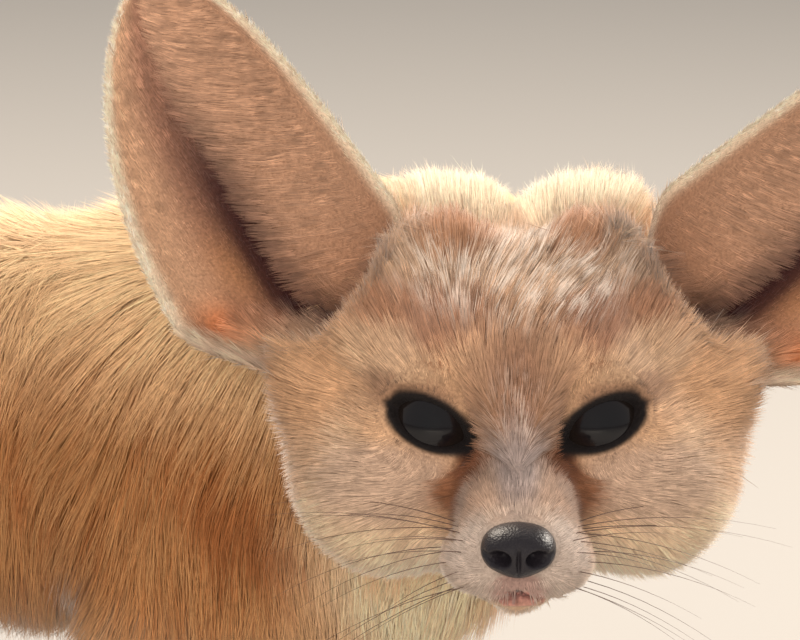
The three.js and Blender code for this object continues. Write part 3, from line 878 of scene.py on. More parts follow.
# %% Marks in and on the ears
def ear_color(outer, up, inside):
    """Colour of an ear: outer runs from -1 at the inner rim to 1 at the outer rim."""
    off = outer - crease_line(up)
    wall = plain([0.50, 0.28, 0.175], outer)
    wall = blend(wall, [0.43, 0.215, 0.125], smooth(0.4, 0.1, up))
    wall = blend(wall, [0.36, 0.175, 0.11], smooth(0.0, 0.1, off))  # bed beside the crease
    wall = blend(wall, [0.62, 0.36, 0.22], smooth(0.25, 0.7, off))  # margin
    # painted glow: an orange spot in the bed, as of light shining through the thin ear; the pocket is the ear's own
    # orange fold
    painted_glow, pocket = soft_spot(outer, up, (0.36, 0.34), (0.2, 0.1)), soft_spot(outer, up, (0.72, 0.22), (0.17, 0.06))
    wall = blend(wall, [0.72, 0.33, 0.13], 0.5 * painted_glow)
    # painted shadow: a nearly black line down the deepest fold of the cup, fading out towards the tip
    wide = np.interp(up, [0, 0.25, 0.45, 0.7], [0.19, 0.2, 0.25, 0.28])
    crease = np.exp(-(((off - 0.05) / wide) ** 2))
    crease *= np.interp(up, [0.04, 0.3, 0.55, 0.75, 0.9], [1.0, 0.95, 0.8, 0.35, 0.0])
    wall = blend(wall, [0.045, 0.013, 0.012], np.clip(crease * 1.2, 0, 1))
    wall = blend(wall, [0.56, 0.15, 0.04], 0.85 * pocket)
    lobe = smooth(0.2, 0.1, up) * smooth(-0.1, 0.1, outer) * smooth(1.0, 0.8, outer)
    wall = blend(wall, [0.64, 0.42, 0.27], 0.8 * lobe)
    rim = smooth(0.88, 0.98, np.abs(outer)) * (0.35 + 0.65 * smooth(0.08, 0.3, up))
    wall = blend(wall, [0.97, 0.75, 0.55], rim)
    back = plain([0.68, 0.44, 0.25], outer)
    return np.where(np.asarray(inside)[:, None], wall, back)


# %% [markdown]
# Which part of the fox a point belongs to decides its markings and the lie of its hair. The ears
# know their own measures, so a point is turned back into across, up and off the middle of the
# sheet, and where that fits the sheet it is ear.


# %% Which part a point belongs to
def in_ear(points, side):
    """Across, up and height off the sheet for points in the fox's frame."""
    axes, root = ear_frame(side)
    local = (to_head(points) - root) @ axes
    up = np.clip((local[:, 1] + EAR_SUNK) / (EAR_LENGTH + EAR_SUNK), 0, 0.999)
    across = (local[:, 0] - ear_bow(up, side)) / np.maximum(ear_width(up), 0.5)
    sheet = ear_sheet(np.clip(across, -1, 1), up, 0, side)
    return across, up, local[:, 2] - sheet[:, 2]


tail_line = np.array([joint[:3] for joint in TAIL_JOINTS], float)


def tail_share(points):
    """How far along the tail points lie, from 0 to 1, and the way of the tail there."""
    runs = np.diff(tail_line, axis=0)
    lengths = np.linalg.norm(runs, axis=1)
    starts = np.concatenate([[0], np.cumsum(lengths)])
    best, share, way = np.full(len(points), 1e9), np.zeros(len(points)), np.zeros((len(points), 3))
    for i, run in enumerate(runs):
        along = np.clip((points - tail_line[i]) @ run / (run @ run), 0, 1)
        off = np.linalg.norm(points - tail_line[i] - along[:, None] * run, axis=1)
        nearer = off < best
        best = np.where(nearer, off, best)
        share = np.where(nearer, (starts[i] + along * lengths[i]) / starts[-1], share)
        way[nearer] = run / lengths[i]
    return share, way


def parts_of(points):
    """Weights of head, trunk, legs and tail at points on the skin, which add up to 1."""
    off = np.stack([head_flesh(points), body_flesh(points), leg_flesh(points), tail_core(points)], axis=1)
    near = np.exp(-np.maximum(off - off.min(axis=1, keepdims=True), 0) / 3.5)
    return near / near.sum(axis=1, keepdims=True)


def skin_color(points):
    """Colour of the coat at any place of the skin but the ears."""
    weights = parts_of(points)
    share, _ = tail_share(points)
    below = body_color(points)
    below = blend(below, tail_color(points, share), weights[:, 3] * smooth(-112, -126, points[:, 0]))
    return blend(below, head_color(to_head(points)), smooth(0.25, 0.75, weights[:, 0]))


# %% Colour of each point of the skin
SHADE_UNDER_COAT = 0.8  # painted shade: the skin under the coat gets the coat's markings, made darker
RIM_BLACK = [0.007, 0.005, 0.005]
points = places_of(skin_data)
colors = skin_color(points)
is_ear = np.zeros(len(points), bool)
for side in BOTH:
    across, up, off = in_ear(points, side)
    here = (np.abs(off) < 1.6) & (np.abs(across) < 1.15) & (up > 0.02)
    ear = ear_color(across * side, up, off > 0)
    colors = np.where(here[:, None], ear, colors)
    is_ear |= here
head_points = to_head(points)
rim, lips = eye_rim(head_points) * ~is_ear, lip_skin(head_points) * ~is_ear
crack = smooth(0.75, 0.25, mouth_line(head_points)) * smooth(8, 5, np.abs(head_points[:, 1])) * ~is_ear
colors = blend(SHADE_UNDER_COAT * colors, RIM_BLACK, rim)
colors = blend(colors, [0.46, 0.20, 0.165], lips)
colors = blend(colors, [0.07, 0.03, 0.028], crack)
bare = np.maximum(rim, lips)
print("ear points", int(is_ear.sum()), "rim points", int((rim > 0.5).sum()))


# %% A mesh gets its places in the row's frame, and its colours as attributes
def place_and_smooth(mesh, points):
    mesh.vertices.foreach_set("co", to_row(points).astype(np.float32).ravel())
    mesh.polygons.foreach_set("use_smooth", np.ones(len(mesh.polygons), bool))


def paint(mesh, colors, wet=None):
    """Stores a colour for each point, and how bare and moist the skin is there."""
    layer = mesh.attributes.new("Coat", "FLOAT_COLOR", "POINT")
    layer.data.foreach_set("color", np.column_stack([colors, np.ones(len(colors))]).astype(np.float32).ravel())
    if wet is not None:
        layer = mesh.attributes.new("Bare", "FLOAT", "POINT")
        layer.data.foreach_set("value", wet.astype(np.float32))


paint(skin_data, np.clip(colors, 0.004, 0.95), bare)
place_and_smooth(skin_data, points)
skin_data.update()
skin = new_object("skin", skin_data)
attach(skin, "root")
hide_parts("head", "neck", "torso", "tail", "tail_tip", "ear_left", "ear_right")
limbs = [f"{end}_{part}" for end in ("fore", "hind") for part in ("leg", "paw")]
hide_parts(*[f"{limb}_{side}" for limb in limbs for side in ("left", "right")])
print("skin box", [round(v, 3) for v in skin.dimensions])

# %% [markdown]
# ## Finish of skin and coat
#
# Hair scatters light at grazing angles, so its finish is rough with a sheen. One node group adds
# the fine change of tone that both skin and coat share: it takes the markings and puts out a colour
# and a height for the bump.

# %% Node group for the tone of fur
tone = bpy.data.node_groups.new("fur tone", "ShaderNodeTree")
tone.interface.new_socket("Markings", in_out="INPUT", socket_type="NodeSocketColor")
for label, value in (("Grain", 900.0), ("Contrast", 0.3)):
    socket = tone.interface.new_socket(label, in_out="INPUT", socket_type="NodeSocketFloat")
    socket.default_value = value
tone.interface.new_socket("Color", in_out="OUTPUT", socket_type="NodeSocketColor")
tone.interface.new_socket("Height", in_out="OUTPUT", socket_type="NodeSocketFloat")
entry, leave = tone.nodes.new("NodeGroupInput"), tone.nodes.new("NodeGroupOutput")
where = tone.nodes.new("ShaderNodeTexCoord")
noise = add_node(tone, "ShaderNodeTexNoise", Detail=3.0, Roughness=0.6)
wire(where, "Object", noise, "Vector")
wire(entry, "Grain", noise, "Scale")
spread = add_node(tone, "ShaderNodeMapRange")
wire(noise, "Fac", spread, "Value")
darkest = add_node(tone, "ShaderNodeMath", operation="SUBTRACT")
darkest.inputs[0].default_value = 1.0
wire(entry, "Contrast", darkest, 1)
spread.inputs["From Min"].default_value, spread.inputs["From Max"].default_value = 0.3, 0.7
spread.inputs["To Max"].default_value = 1.12
wire(darkest, 0, spread, "To Min")
shade = add_node(tone, "ShaderNodeVectorMath", operation="SCALE")
wire(entry, "Markings", shade, 0)
wire(spread, "Result", shade, "Scale")
wire(shade, "Vector", leave, "Color")
wire(noise, "Fac", leave, "Height")
print("group sockets", len(tone.interface.items_tree))


# %% Skin and coat materials
def fur_material(name, grain, contrast, bump, **sockets):
    """A Principled finish whose colour is the piece's own markings through the tone group."""
    made, tree, shader = material(name, Roughness=0.75, **sockets)
    marks = add_node(tree, "ShaderNodeAttribute", attribute_name="Coat")
    group = add_node(tree, "ShaderNodeGroup", node_tree=tone)
    group.inputs["Grain"].default_value, group.inputs["Contrast"].default_value = grain, contrast
    wire(marks, "Color", group, "Markings")
    wire(group, "Color", shader, "Base Color")
    raised = add_node(tree, "ShaderNodeBump", Strength=bump, Distance=0.0006)
    wire(group, "Height", raised, "Height")
    wire(raised, "Normal", shader, "Normal")
    return made, tree, shader


skin_finish, skin_tree, skin_shader = fur_material(
    "skin under fur", 1600.0, 0.35, 0.4, Sheen_Weight=0.04, Specular_IOR_Level=0.18
)
bare_mask = add_node(skin_tree, "ShaderNodeAttribute", attribute_name="Bare")
gloss = add_node(skin_tree, "ShaderNodeMapRange")
gloss.inputs["To Min"].default_value, gloss.inputs["To Max"].default_value = 0.75, 0.42
wire(bare_mask, "Fac", gloss, "Value")
wire(gloss, "Result", skin_shader, "Roughness")
skin_data.materials.append(skin_finish)
coat_finish, _, _ = fur_material(
    "hair", 500.0, 0.18, 0.0, Sheen_Weight=0.35, Sheen_Roughness=0.35, Specular_IOR_Level=0.35
)
print("materials", len(bpy.data.materials))

# %% [markdown]
# ## Eyes
#
# A fennec's eyes look black from a step away: a very dark brown iris with a black pupil under a
# wet cornea that bulges a little. One ball with a bulge gives that, and an attribute that grows from
# the middle of the gaze outwards tells pupil and iris apart.


# %% Eyeballs
def add_piece(name, work, finish, slot, *replaced):
    """Turns a bmesh in the fox's millimetres into a finished piece that rides on the body."""
    bmesh.ops.recalc_face_normals(work, faces=work.faces)
    data = store(work, bpy.data.meshes.new(name))
    place_and_smooth(data, places_of(data))
    data.update()
    piece = new_object(name, data)
    data.materials.append(finish)
    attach(piece, "root")
    if replaced:
        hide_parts(*replaced)
    return piece


def eyeball(side):
    work = steady_ball(64, 40, BALL_RADIUS)
    ball = points_of(work)[:, [2, 0, 1]]
    from_gaze = np.arccos(np.clip(ball[:, 0] / BALL_RADIUS, -1, 1))
    bulge = 0.4 * smooth(0.9, 0.0, from_gaze)
    ball *= (1 + bulge / BALL_RADIUS)[:, None]
    move_points(work, from_head(ball @ gaze(side).T + eye_middle(side)))
    return work, from_gaze


eye_finish, eye_tree, eye_shader = material(
    "wet eye", Roughness=0.2, Coat_Weight=0.5, Coat_Roughness=0.06, Specular_IOR_Level=0.2
)
rings = add_node(eye_tree, "ShaderNodeAttribute", attribute_name="Ring")
ramp = add_node(eye_tree, "ShaderNodeValToRGB")
EYE_RINGS = [
    (0.0, (0.004, 0.004, 0.005, 1)),  # pupil
    (0.42, (0.005, 0.004, 0.005, 1)),
    (0.56, (0.009, 0.006, 0.005, 1)),  # iris
    (0.85, (0.008, 0.006, 0.005, 1)),
    (0.95, (0.005, 0.004, 0.004, 1)),  # its dark rim
]
for index, (position, color) in enumerate(EYE_RINGS):
    stop = ramp.color_ramp.elements[index] if index < 2 else ramp.color_ramp.elements.new(position)
    stop.position, stop.color = position, color
wire(rings, "Fac", ramp, "Fac")
wire(ramp, "Color", eye_shader, "Base Color")
for side, label in SIDES:
    work, from_gaze = eyeball(side)
    eye = add_piece(f"eyeball_{label}", work, eye_finish, "eye", f"eye_{label}")
    ring = eye.data.attributes.new("Ring", "FLOAT", "POINT")
    ring.data.foreach_set("value", np.clip(from_gaze / 1.15, 0, 1).astype(np.float32))
print("eyes made")

# %% [markdown]
# ## Nose
#
# The nose is a pad of moist, finely pebbled leather with two comma shaped nostrils and a groove
# down to the lip. Each point of a ball is cast outward until it leaves the formula, which reaches
# the bottom of a deep pit, so the nostrils are real hollows.

# %% Nose
nose_form = press(
    0.6,
    melt(
        2,
        egg((32, 0, -12.2), (5.6, 6, 4)),
        *(egg((32.2, s * 3.3, -13.2), (5, 3.4, 3.6)) for s in BOTH),
        egg((32, 0, -15.6), (4.8, 3.4, 2.5)),
    ),
    *(egg((37.0, s * 2.8, -13.6), (3.6, 1.45, 1.45)) for s in BOTH),
    *(rod((36.6, s * 3.9, -13.7), 0.9, (34.6, s * 6.4, -12.9), 0.45) for s in BOTH),
    egg((37.8, 0, -15.8), (1.7, 0.32, 4.6)),
)


def cast(form, centre, ways, reach):
    """Where rays from a centre first leave a form."""
    far = np.full(len(ways), float(reach))
    tries, step = np.linspace(reach, 0.1, 70, retstep=True)
    for t in tries:
        far = np.where(form(centre + ways * t) > 0, t, far)
    near = far + step
    for _ in range(10):
        middle_way = (near + far) / 2
        outside = form(centre + ways * middle_way[:, None]) > 0
        near, far = np.where(outside, near, middle_way), np.where(outside, middle_way, far)
    return centre + ways * far[:, None]


work = bmesh.new()
bmesh.ops.create_icosphere(work, subdivisions=6, radius=1)
move_points(work, cast(nose_form, np.array([30.5, 0, -13.6]), points_of(work), 9))
smooth_points(work, 0.4)
move_points(work, from_head(points_of(work)))
nose_finish, nose_tree, nose_shader = material(
    "nose leather", (0.012, 0.010, 0.013), Roughness=0.42, Specular_IOR_Level=0.38, Coat_Weight=0.14, Coat_Roughness=0.3
)
place = add_node(nose_tree, "ShaderNodeTexCoord")
pebbles = add_node(nose_tree, "ShaderNodeTexVoronoi", Scale=2300.0)
dents = add_node(nose_tree, "ShaderNodeBump", Strength=0.35, Distance=0.0003)
wire(place, "Object", pebbles, "Vector")
wire(pebbles, "Distance", dents, "Height")
wire(dents, "Normal", nose_shader, "Normal")
nose = add_piece("nose_pad", work, nose_finish, "nose_leather", "nose")
print("nose", [round(v * 1000, 1) for v in nose.dimensions])

# %% [markdown]
# ## Claws and whiskers
#
# Claws are short bent cones. Whiskers are long tapered bristles that spring from the pads beside
# the nose: curves with a round bevel, turned into meshes.

# %% Claws
claw_finish, claw_tree, claw_shader = material("claw horn", (0.16, 0.11, 0.08), Roughness=0.35)
claw_place = add_node(claw_tree, "ShaderNodeTexCoord")
claw_bands = add_node(claw_tree, "ShaderNodeTexNoise", Scale=700.0)
claw_ramp = add_node(claw_tree, "ShaderNodeValToRGB")
claw_ramp.color_ramp.elements[0].color = (0.05, 0.035, 0.028, 1)
claw_ramp.color_ramp.elements[1].color = (0.26, 0.19, 0.14, 1)
wire(claw_place, "Object", claw_bands, "Vector")
wire(claw_bands, "Fac", claw_ramp, "Fac")
wire(claw_ramp, "Color", claw_shader, "Base Color")
work = bmesh.new()
for paw in paws:
    for x, y, toe in toe_places(*paw):
        turn = Matrix.Rotation(math.radians(112), 4, "Y")
        spot = Matrix.Translation((x + 7.4, y + toe * 0.2, 4.4))
        bmesh.ops.create_cone(
            work, cap_ends=True, segments=10, radius1=1.15, radius2=0.12, depth=6.5, matrix=spot @ turn
        )
add_piece("claws", work, claw_finish, "nose_leather")
print("claws", 4 * len(paws))

# %% Whiskers
whisker_finish, _, _ = material("bristle", (0.09, 0.05, 0.035), Roughness=0.4)
bristles = bpy.data.curves.new("bristles", "CURVE")
bristles.dimensions, bristles.bevel_depth, bristles.bevel_resolution = "3D", 0.1, 1
bristles.resolution_u = 6
WHISKER_ROWS, WHISKER_COLUMNS, WHISKER_POINTS = 4, 4, 10
random = np.random.default_rng(11)
for side in BOTH:
    for row in range(WHISKER_ROWS):
        for column in range(WHISKER_COLUMNS):
            x = 26.5 - 3.1 * column + 0.6 * row
            z = -13.6 - 2.4 * row
            root = settle(sunk_head, np.array([[x, side * 9.0, z]]), -0.3, 6)[0]
            out = np.array([-0.25 - 0.12 * column, side * 1.0, 0.12 - 0.18 * row])
            out = unit(out + random.normal(size=3) * 0.07)
            length = (24 + 6 * column) * random.uniform(0.8, 1.2)
            drop = np.array([-0.18, 0, -0.22 - 0.1 * random.random()]) * length
            line = bristles.splines.new("POLY")
            line.points.add(WHISKER_POINTS - 1)
            for i, share in enumerate(np.linspace(0, 1, WHISKER_POINTS)):
                spot = root + out * length * share + drop * share**2
                line.points[i].co = (*from_head(spot[None])[0], 1)
                line.points[i].radius = (1 - 0.85 * share) * random.uniform(0.9, 1.0)
holder = new_object("bristles", bristles)
depsgraph = bpy.context.evaluated_depsgraph_get()
whisker_data = bpy.data.meshes.new_from_object(holder.evaluated_get(depsgraph))
bpy.data.objects.remove(holder)
work = bmesh.new()
work.from_mesh(whisker_data)
bmesh.ops.holes_fill(work, edges=[e for e in work.edges if e.is_boundary], sides=0)
add_piece("whiskers", work, whisker_finish, "dark_coat")
print("whiskers", len(BOTH) * WHISKER_ROWS * WHISKER_COLUMNS)

# %% [markdown]
# ## Coat
#
# The coat is thousands of tapered, three sided hairs, each as wide as a few real ones. Each starts
# a little under the skin, follows the lie of the coat and rises to the coat's depth at its tip. One
# hair is a narrow cone made by an operator, straight everywhere but on the tail, where it has one
# bend, and arrays repeat it along the stations of each lie.


# %% One hair
def hair_pattern(rings):
    """Faces of a cone with some rings of three points and a tip, and its points as ring, corner."""
    work = bmesh.new()
    bmesh.ops.create_cone(work, cap_ends=True, segments=3, radius1=1, radius2=0, depth=1)
    bmesh.ops.remove_doubles(work, verts=work.verts, dist=1e-4)
    if rings > 1:
        upright = [e for e in work.edges if abs(e.verts[0].co.z - e.verts[1].co.z) > 0.5]
        bmesh.ops.subdivide_edges(work, edges=upright, cuts=rings - 1, use_grid_fill=True)
    work.verts.index_update()
    places = np.array([v.co[:] for v in work.verts])
    shares = np.round((places[:, 2] + 0.5) * rings).astype(int)
    angles = np.arctan2(places[:, 1], places[:, 0])
    faces = [[v.index for v in face.verts] for face in work.faces]
    work.free()
    return shares, np.cos(angles), np.sin(angles), faces


for rings in (1, 2):
    shares, _, _, faces = hair_pattern(rings)
    print("hair of", rings, "rings:", len(shares), "points", sum(len(f) - 2 for f in faces), "triangles")

# %% [markdown]
# The lie of the coat on the head is a short table: a place, the way that the hair points there, its
# length, how high its tip stands and how wide it is. Between places it is blended by distance. Hair
# runs back from the nose, up over the forehead and out over the cheeks.

# %% Lie of the coat on the head
HEAD_LIE = [
    # place, way, length, height of tip, width
    ((24, 0, -6), (-1, 0, 0.3), 2.6, 0.7, 0.26),
    ((14, 0, -1), (-1, 0, 0.6), 3.2, 0.9, 0.26),
    ((5, 0, 6), (-0.6, 0, 0.8), 4.6, 1.3, 0.28),
    ((-4, 0, 14), (-0.6, 0.1, 0.8), 7.5, 2.3, 0.32),
    ((-4, 10, 13), (-0.5, 0.2, 0.8), 7.0, 2.3, 0.32),
    ((-12, 0, 24), (-0.8, 0.1, 0.55), 8.5, 3.2, 0.34),
    ((-10, 16, 19), (-0.5, 0.35, 0.7), 7.0, 2.6, 0.32),
    ((-18, 10, 32), (-0.2, 0.1, 1.0), 7.5, 5.0, 0.3),
    ((-27, 0, 30), (-0.8, 0.1, 0.5), 8.0, 3.6, 0.33),
    ((-30, 12, 32), (-0.7, 0.1, 0.6), 7.0, 3.8, 0.32),
    ((-44, 5, 35), (-0.3, -0.6, 0.7), 6.5, 4.6, 0.27),
    ((-42, 14, 38), (-0.1, 0.1, 1.0), 6.5, 5.4, 0.26),
    ((-44, 23, 33), (-0.2, 0.8, 0.6), 6.5, 4.6, 0.27),
    ((-54, 14, 28), (-0.6, 0.1, 0.3), 7.0, 4.4, 0.3),
    ((-25, 22, 28), (-0.2, 0.45, 0.9), 9.5, 6.0, 0.33),
    ((-22, 32, 16), (-0.25, 0.7, 0.75), 10.0, 6.0, 0.33),
    ((-18, 40, 6), (-0.35, 0.8, 0.4), 9.0, 4.6, 0.34),
    ((-12, 24, 16), (-0.6, 0.4, 0.7), 7.5, 2.8, 0.32),
    ((-16, 30, 10), (-0.5, 0.75, 0.35), 6.0, 2.2, 0.32),
    ((-6, 30, 2), (-0.5, 0.85, 0.15), 6.0, 2.0, 0.32),
    ((1, 24, 7), (-0.45, 0.7, 0.5), 4.6, 1.5, 0.3),
    ((3, 24, -6), (-0.5, 0.85, -0.1), 4.6, 1.4, 0.3),
    ((8, 14, -11), (-0.7, 0.7, -0.2), 3.8, 1.1, 0.28),
    ((9, 10, -4), (-0.6, 0.6, -0.6), 2.8, 0.8, 0.26),
    ((0, 32, -14), (-0.5, 0.75, -0.4), 7.5, 2.4, 0.33),
    ((2, 22, -26), (-0.45, 0.5, -0.7), 8.0, 2.6, 0.33),
    ((-14, 42, -12), (-0.6, 0.6, -0.5), 9.5, 3.4, 0.36),
    ((-22, 44, 4), (-0.7, 0.6, -0.1), 8.0, 2.8, 0.35),
    ((-30, 36, -22), (-0.7, 0.4, -0.6), 12.0, 4.2, 0.36),
    ((26, 9, -14), (-0.75, 0.65, 0.1), 2.2, 0.55, 0.24),
    ((22, 11, -21), (-0.7, 0.6, -0.4), 2.8, 0.8, 0.25),
    ((25, 0, -26), (-0.7, 0, -0.7), 3.0, 0.9, 0.25),
    ((10, 9, -31), (-0.75, 0.3, -0.6), 6.0, 1.8, 0.3),
    ((-12, 0, -34), (-0.9, 0, -0.4), 9.0, 3.2, 0.36),
    ((-52, 0, 0), (-0.9, 0, -0.4), 11.0, 4.6, 0.36),
]
lie_places = np.array([(p[0], s * p[1], p[2]) for p, *_ in HEAD_LIE for s in BOTH], float)
lie_ways = np.array([(w[0], s * w[1], w[2]) for _, w, *_ in HEAD_LIE for s in BOTH], float)
lie_sizes = np.array([rest for _, _, *rest in HEAD_LIE for s in BOTH], float)


def head_lie(points):
    """Way, length, height of tip and width at places in the head's frame."""
    off = np.linalg.norm(points[:, None] - lie_places[None], axis=2)
    near = 1.0 / (off + 1.5) ** 4
    near /= near.sum(axis=1, keepdims=True)
    way, size = near @ lie_ways, near @ lie_sizes
    way[:, 1] += 0.55 * smooth(1.2, 0.5, np.linalg.norm((points - [-8, 2, 20]) / [18, 14, 14], axis=1))
    for side in BOTH:
        seen = in_eye(points, side)
        beside = smooth(7.5, 1.5, almond(seen)) * (seen[:, 0] > -5) * smooth(4.5, 10.5, side * points[:, 1])
        away = unit(seen * [0.35, 0.9, 1.4])
        way = blend(way, away @ gaze(side).T, 0.9 * beside)
        size *= 1 - np.array([0.62, 0.68, 0.25]) * beside[:, None]
    return way, size


print("places in the lie of the head", len(lie_places))


# %% Lie of the coat elsewhere
def rest_lie(points, weights):
    """The same for trunk, legs and tail, in the fox's frame."""
    share, tail_way = tail_share(points)
    down = smooth(214, 190, points[:, 2])
    body_way = np.stack([-1 + 0.85 * down, np.zeros(len(points)), -0.2 - 0.9 * down], axis=1)
    body_way[:, 2] += 0.2 * ripple(points, 60)
    body_way[:, 0] += 0.22 * ripple(points, 45, 6)
    neck = smooth(84, 108, points[:, 0]) * smooth(176, 196, points[:, 2])
    body_size = blend(plain([13.5, 6.2, 0.31], points), [9.5, 2.4, 0.3], neck)
    paw = smooth(26, 14, points[:, 2])
    leg_way = blend(plain([-0.25, 0, -1.0], points), [0.9, 0, -0.45], paw)
    leg_size = blend(plain([5.5, 1.8, 0.3], points), [12.0, 4.5, 0.31], smooth(55, 105, points[:, 2]))
    leg_size = blend(leg_size, [3.4, 1.0, 0.27], paw)
    tail_size = blend(plain([30.0, 12.0, 0.62], points), [22.0, 8.5, 0.6], smooth(0.2, 0.0, share))
    tail_size *= 1 - np.array([0.25, 0.45, 0.1]) * smooth(0.82, 1.0, share)[:, None]
    kinds = [(1, body_way, body_size), (2, leg_way, leg_size), (3, tail_way, tail_size)]
    total = weights[:, 1:].sum(axis=1, keepdims=True) + 1e-9
    way = sum(w * weights[:, [i]] for i, w, _ in kinds) / total
    size = sum(s * weights[:, [i]] for i, _, s in kinds) / total
    return way, size


def coat_lie(points):
    """Way, length, height of tip and width anywhere on the skin."""
    weights = parts_of(points)
    way_head, size_head = head_lie(to_head(points))
    way_rest, size_rest = rest_lie(points, weights)
    share = smooth(0.2, 0.8, weights[:, 0])
    way = blend(way_rest, way_head @ head_axes.T, share)
    return way, blend(size_rest, size_head, share), weights


# %% [markdown]
# Roots are thrown over the triangles of the skin, more of them where hair is short and fine. Hairs
# of a coat cling together at their tips, so some hairs lead and their neighbours lean to them.

# %% Roots
random = np.random.default_rng(3)
skin_data.calc_loop_triangles()
corners = np.empty(len(skin_data.loop_triangles) * 3, np.int32)
skin_data.loop_triangles.foreach_get("vertices", corners)
corners = corners.reshape(-1, 3)
corners = corners[~is_ear[corners].any(axis=1)]
triangles = points[corners]
areas = np.linalg.norm(np.cross(triangles[:, 1] - triangles[:, 0], triangles[:, 2] - triangles[:, 0]), axis=1) / 2
centres = triangles.mean(axis=1)


def throw(share_of, count):
    """Places on the triangles, thrown in proportion to area times a share for each triangle."""
    heap = np.cumsum(areas * share_of)
    chosen = np.searchsorted(heap, random.random(count) * heap[-1])
    a, b = random.random((2, count, 1))
    turned = a + b > 1
    a, b = np.where(turned, 1 - a, a), np.where(turned, 1 - b, b)
    corner = triangles[np.minimum(chosen, len(triangles) - 1)]
    return corner[:, 0] + a * (corner[:, 1] - corner[:, 0]) + b * (corner[:, 2] - corner[:, 0])


print("skin area", round(areas.sum() / 100), "square centimetres")

# %% How thick the hair stands
centre_parts = parts_of(centres)
centre_head = to_head(centres)
density = 1.9 * centre_parts[:, 1] + 0.58 * centre_parts[:, 3] + 1.0 * centre_parts[:, 2]
face = smooth(-50, -10, centre_head[:, 0])
density += centre_parts[:, 0] * (2.6 + 6.0 * face + 4.0 * smooth(14, 24, centre_head[:, 0]))
density += centre_parts[:, 0] * 7.5 * smooth(16, 26, centre_head[:, 2]) * (1 - face)
bare_here = np.maximum(eye_rim(centre_head) * 0.6, lip_skin(centre_head)) > 0.45
in_nose = nose_form(centre_head) < 0.3
in_eyes = np.min([np.linalg.norm(in_eye(centre_head, s), axis=1) for s in BOTH], axis=0) < BALL_RADIUS + 0.3
in_mouth = mouth_line(centre_head) < 1.4
density[bare_here | in_nose | in_eyes | in_mouth | (centres[:, 2] < 2.5)] = 0
expected = (areas * density).sum()
print("hairs wanted", int(expected))


# %% Stations of each hair
def comb(roots, way, size, form, rings):
    """Stations of hairs that follow the form and rise to their height at the tip."""
    out, _ = slope_of(form, roots)
    length, height = size[:, 0], size[:, 1]
    at = roots - out * 0.4
    stations, ups = [at], [out]
    heading = way
    for i in range(1, rings + 1):
        heading = unit(heading - out * (heading * out).sum(axis=1, keepdims=True))
        at = at + heading * (length / rings)[:, None]
        out, here = slope_of(form, at)
        rise = height * (i / rings) ** 0.85
        at = at + out * np.clip(rise - here, -length * 0.5, length * 0.5)[:, None]
        stations.append(at)
        ups.append(out)
    stations = np.stack(stations, axis=1)
    stations[..., 2] = np.maximum(stations[..., 2], 0.6)
    return stations, np.stack(ups, axis=1)


def cling(stations, every, pull):
    """Outer stations lean to those of the nearest leading hair."""
    leaders = np.arange(0, len(stations), every)
    tree = kdtree.KDTree(len(leaders))
    for i, leader in enumerate(leaders):
        tree.insert(stations[leader, 0], i)
    tree.balance()
    nearest = leaders[[tree.find(root)[1] for root in stations[:, 0]]]
    count = stations.shape[1] - 1
    result = stations.copy()
    spread = stations[:, 0] - stations[nearest, 0]
    for k in range(1, count + 1):
        share = pull * (k / count) ** 1.3
        goal = stations[nearest, k] + spread * 0.3
        result[:, k] += (goal - result[:, k]) * share[:, None]
    return result, nearest


# %% [markdown]
# A coat looks soft because light passes from hair to hair. Here each hair is lit mostly by the way
# the skin under it faces, and only a little by its own sides, so the coat shades as one soft form.

# %% Hairs become one mesh
OWN_SIDES = 0.4


def hair_mesh(name, stations, ups, widths, base, tip, patch):
    """Repeats the pattern of one hair along all stations, with colours and the OFBake map."""
    count, rings = len(stations), stations.shape[1] - 1
    shares, across, above, faces = hair_pattern(rings)
    heading = unit(np.gradient(stations, axis=1))
    sides = unit(np.cross(ups, heading))
    lifts = np.cross(heading, sides)
    full = np.array([1.0, 0.0]) if rings == 1 else np.array([0.85, 0.85, 0.0])
    half = widths[:, None, None] * full[shares][None, :, None] / 2
    own = sides[:, shares] * across[None, :, None] + lifts[:, shares] * above[None, :, None] * 0.7
    places = stations[:, shares] + own * half
    data = bpy.data.meshes.new(name)
    per_hair = len(shares)
    data.vertices.add(count * per_hair)
    loops = np.concatenate([np.array(f) for f in faces])
    sizes = np.array([len(f) for f in faces])
    starts = np.concatenate([[0], np.cumsum(sizes)[:-1]])
    all_loops = (np.arange(count)[:, None] * per_hair + loops).ravel()
    data.loops.add(len(all_loops))
    data.loops.foreach_set("vertex_index", all_loops.astype(np.int32))
    data.polygons.add(count * len(faces))
    all_starts = (np.arange(count)[:, None] * len(loops) + starts).ravel()
    data.polygons.foreach_set("loop_start", all_starts.astype(np.int32))
    place_and_smooth(data, places.reshape(-1, 3))
    data.update(calc_edges=True)
    along = (shares / rings)[None, :, None]
    # painted shade: each hair is darker towards its root, deep in the coat
    root_shade = np.interp(shares / rings, [0, 0.5, 1], [0.74, 0.96, 1.0])[None, :, None]
    colors = (base[:, None] + (tip[:, None] - base[:, None]) * along**1.3) * root_shade
    paint(data, np.clip(colors.reshape(-1, 3), 0.003, 0.98))
    flat = patch[:, None] + 0.0015 * np.stack([across * full[shares], 2 * shares / rings - 1], axis=1)[None]
    layer = data.uv_layers.new(name="OFBake")
    layer.data.foreach_set("uv", np.clip(flat, 0, 1).reshape(-1, 2)[all_loops].astype(np.float32).ravel())
    data.materials.append(coat_finish)
    data.validate()
    facing = unit(own * (full[shares] > 0)[None, :, None] * OWN_SIDES + ups[:, shares])
    data.normals_split_custom_set_from_vertices(facing.reshape(-1, 3).astype(np.float32))
    piece = new_object(name, data)
    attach(piece, "root")
    triangles_made = count * int((sizes - 2).sum())
    print(name, count, "hairs", triangles_made, "triangles")
    return triangles_made
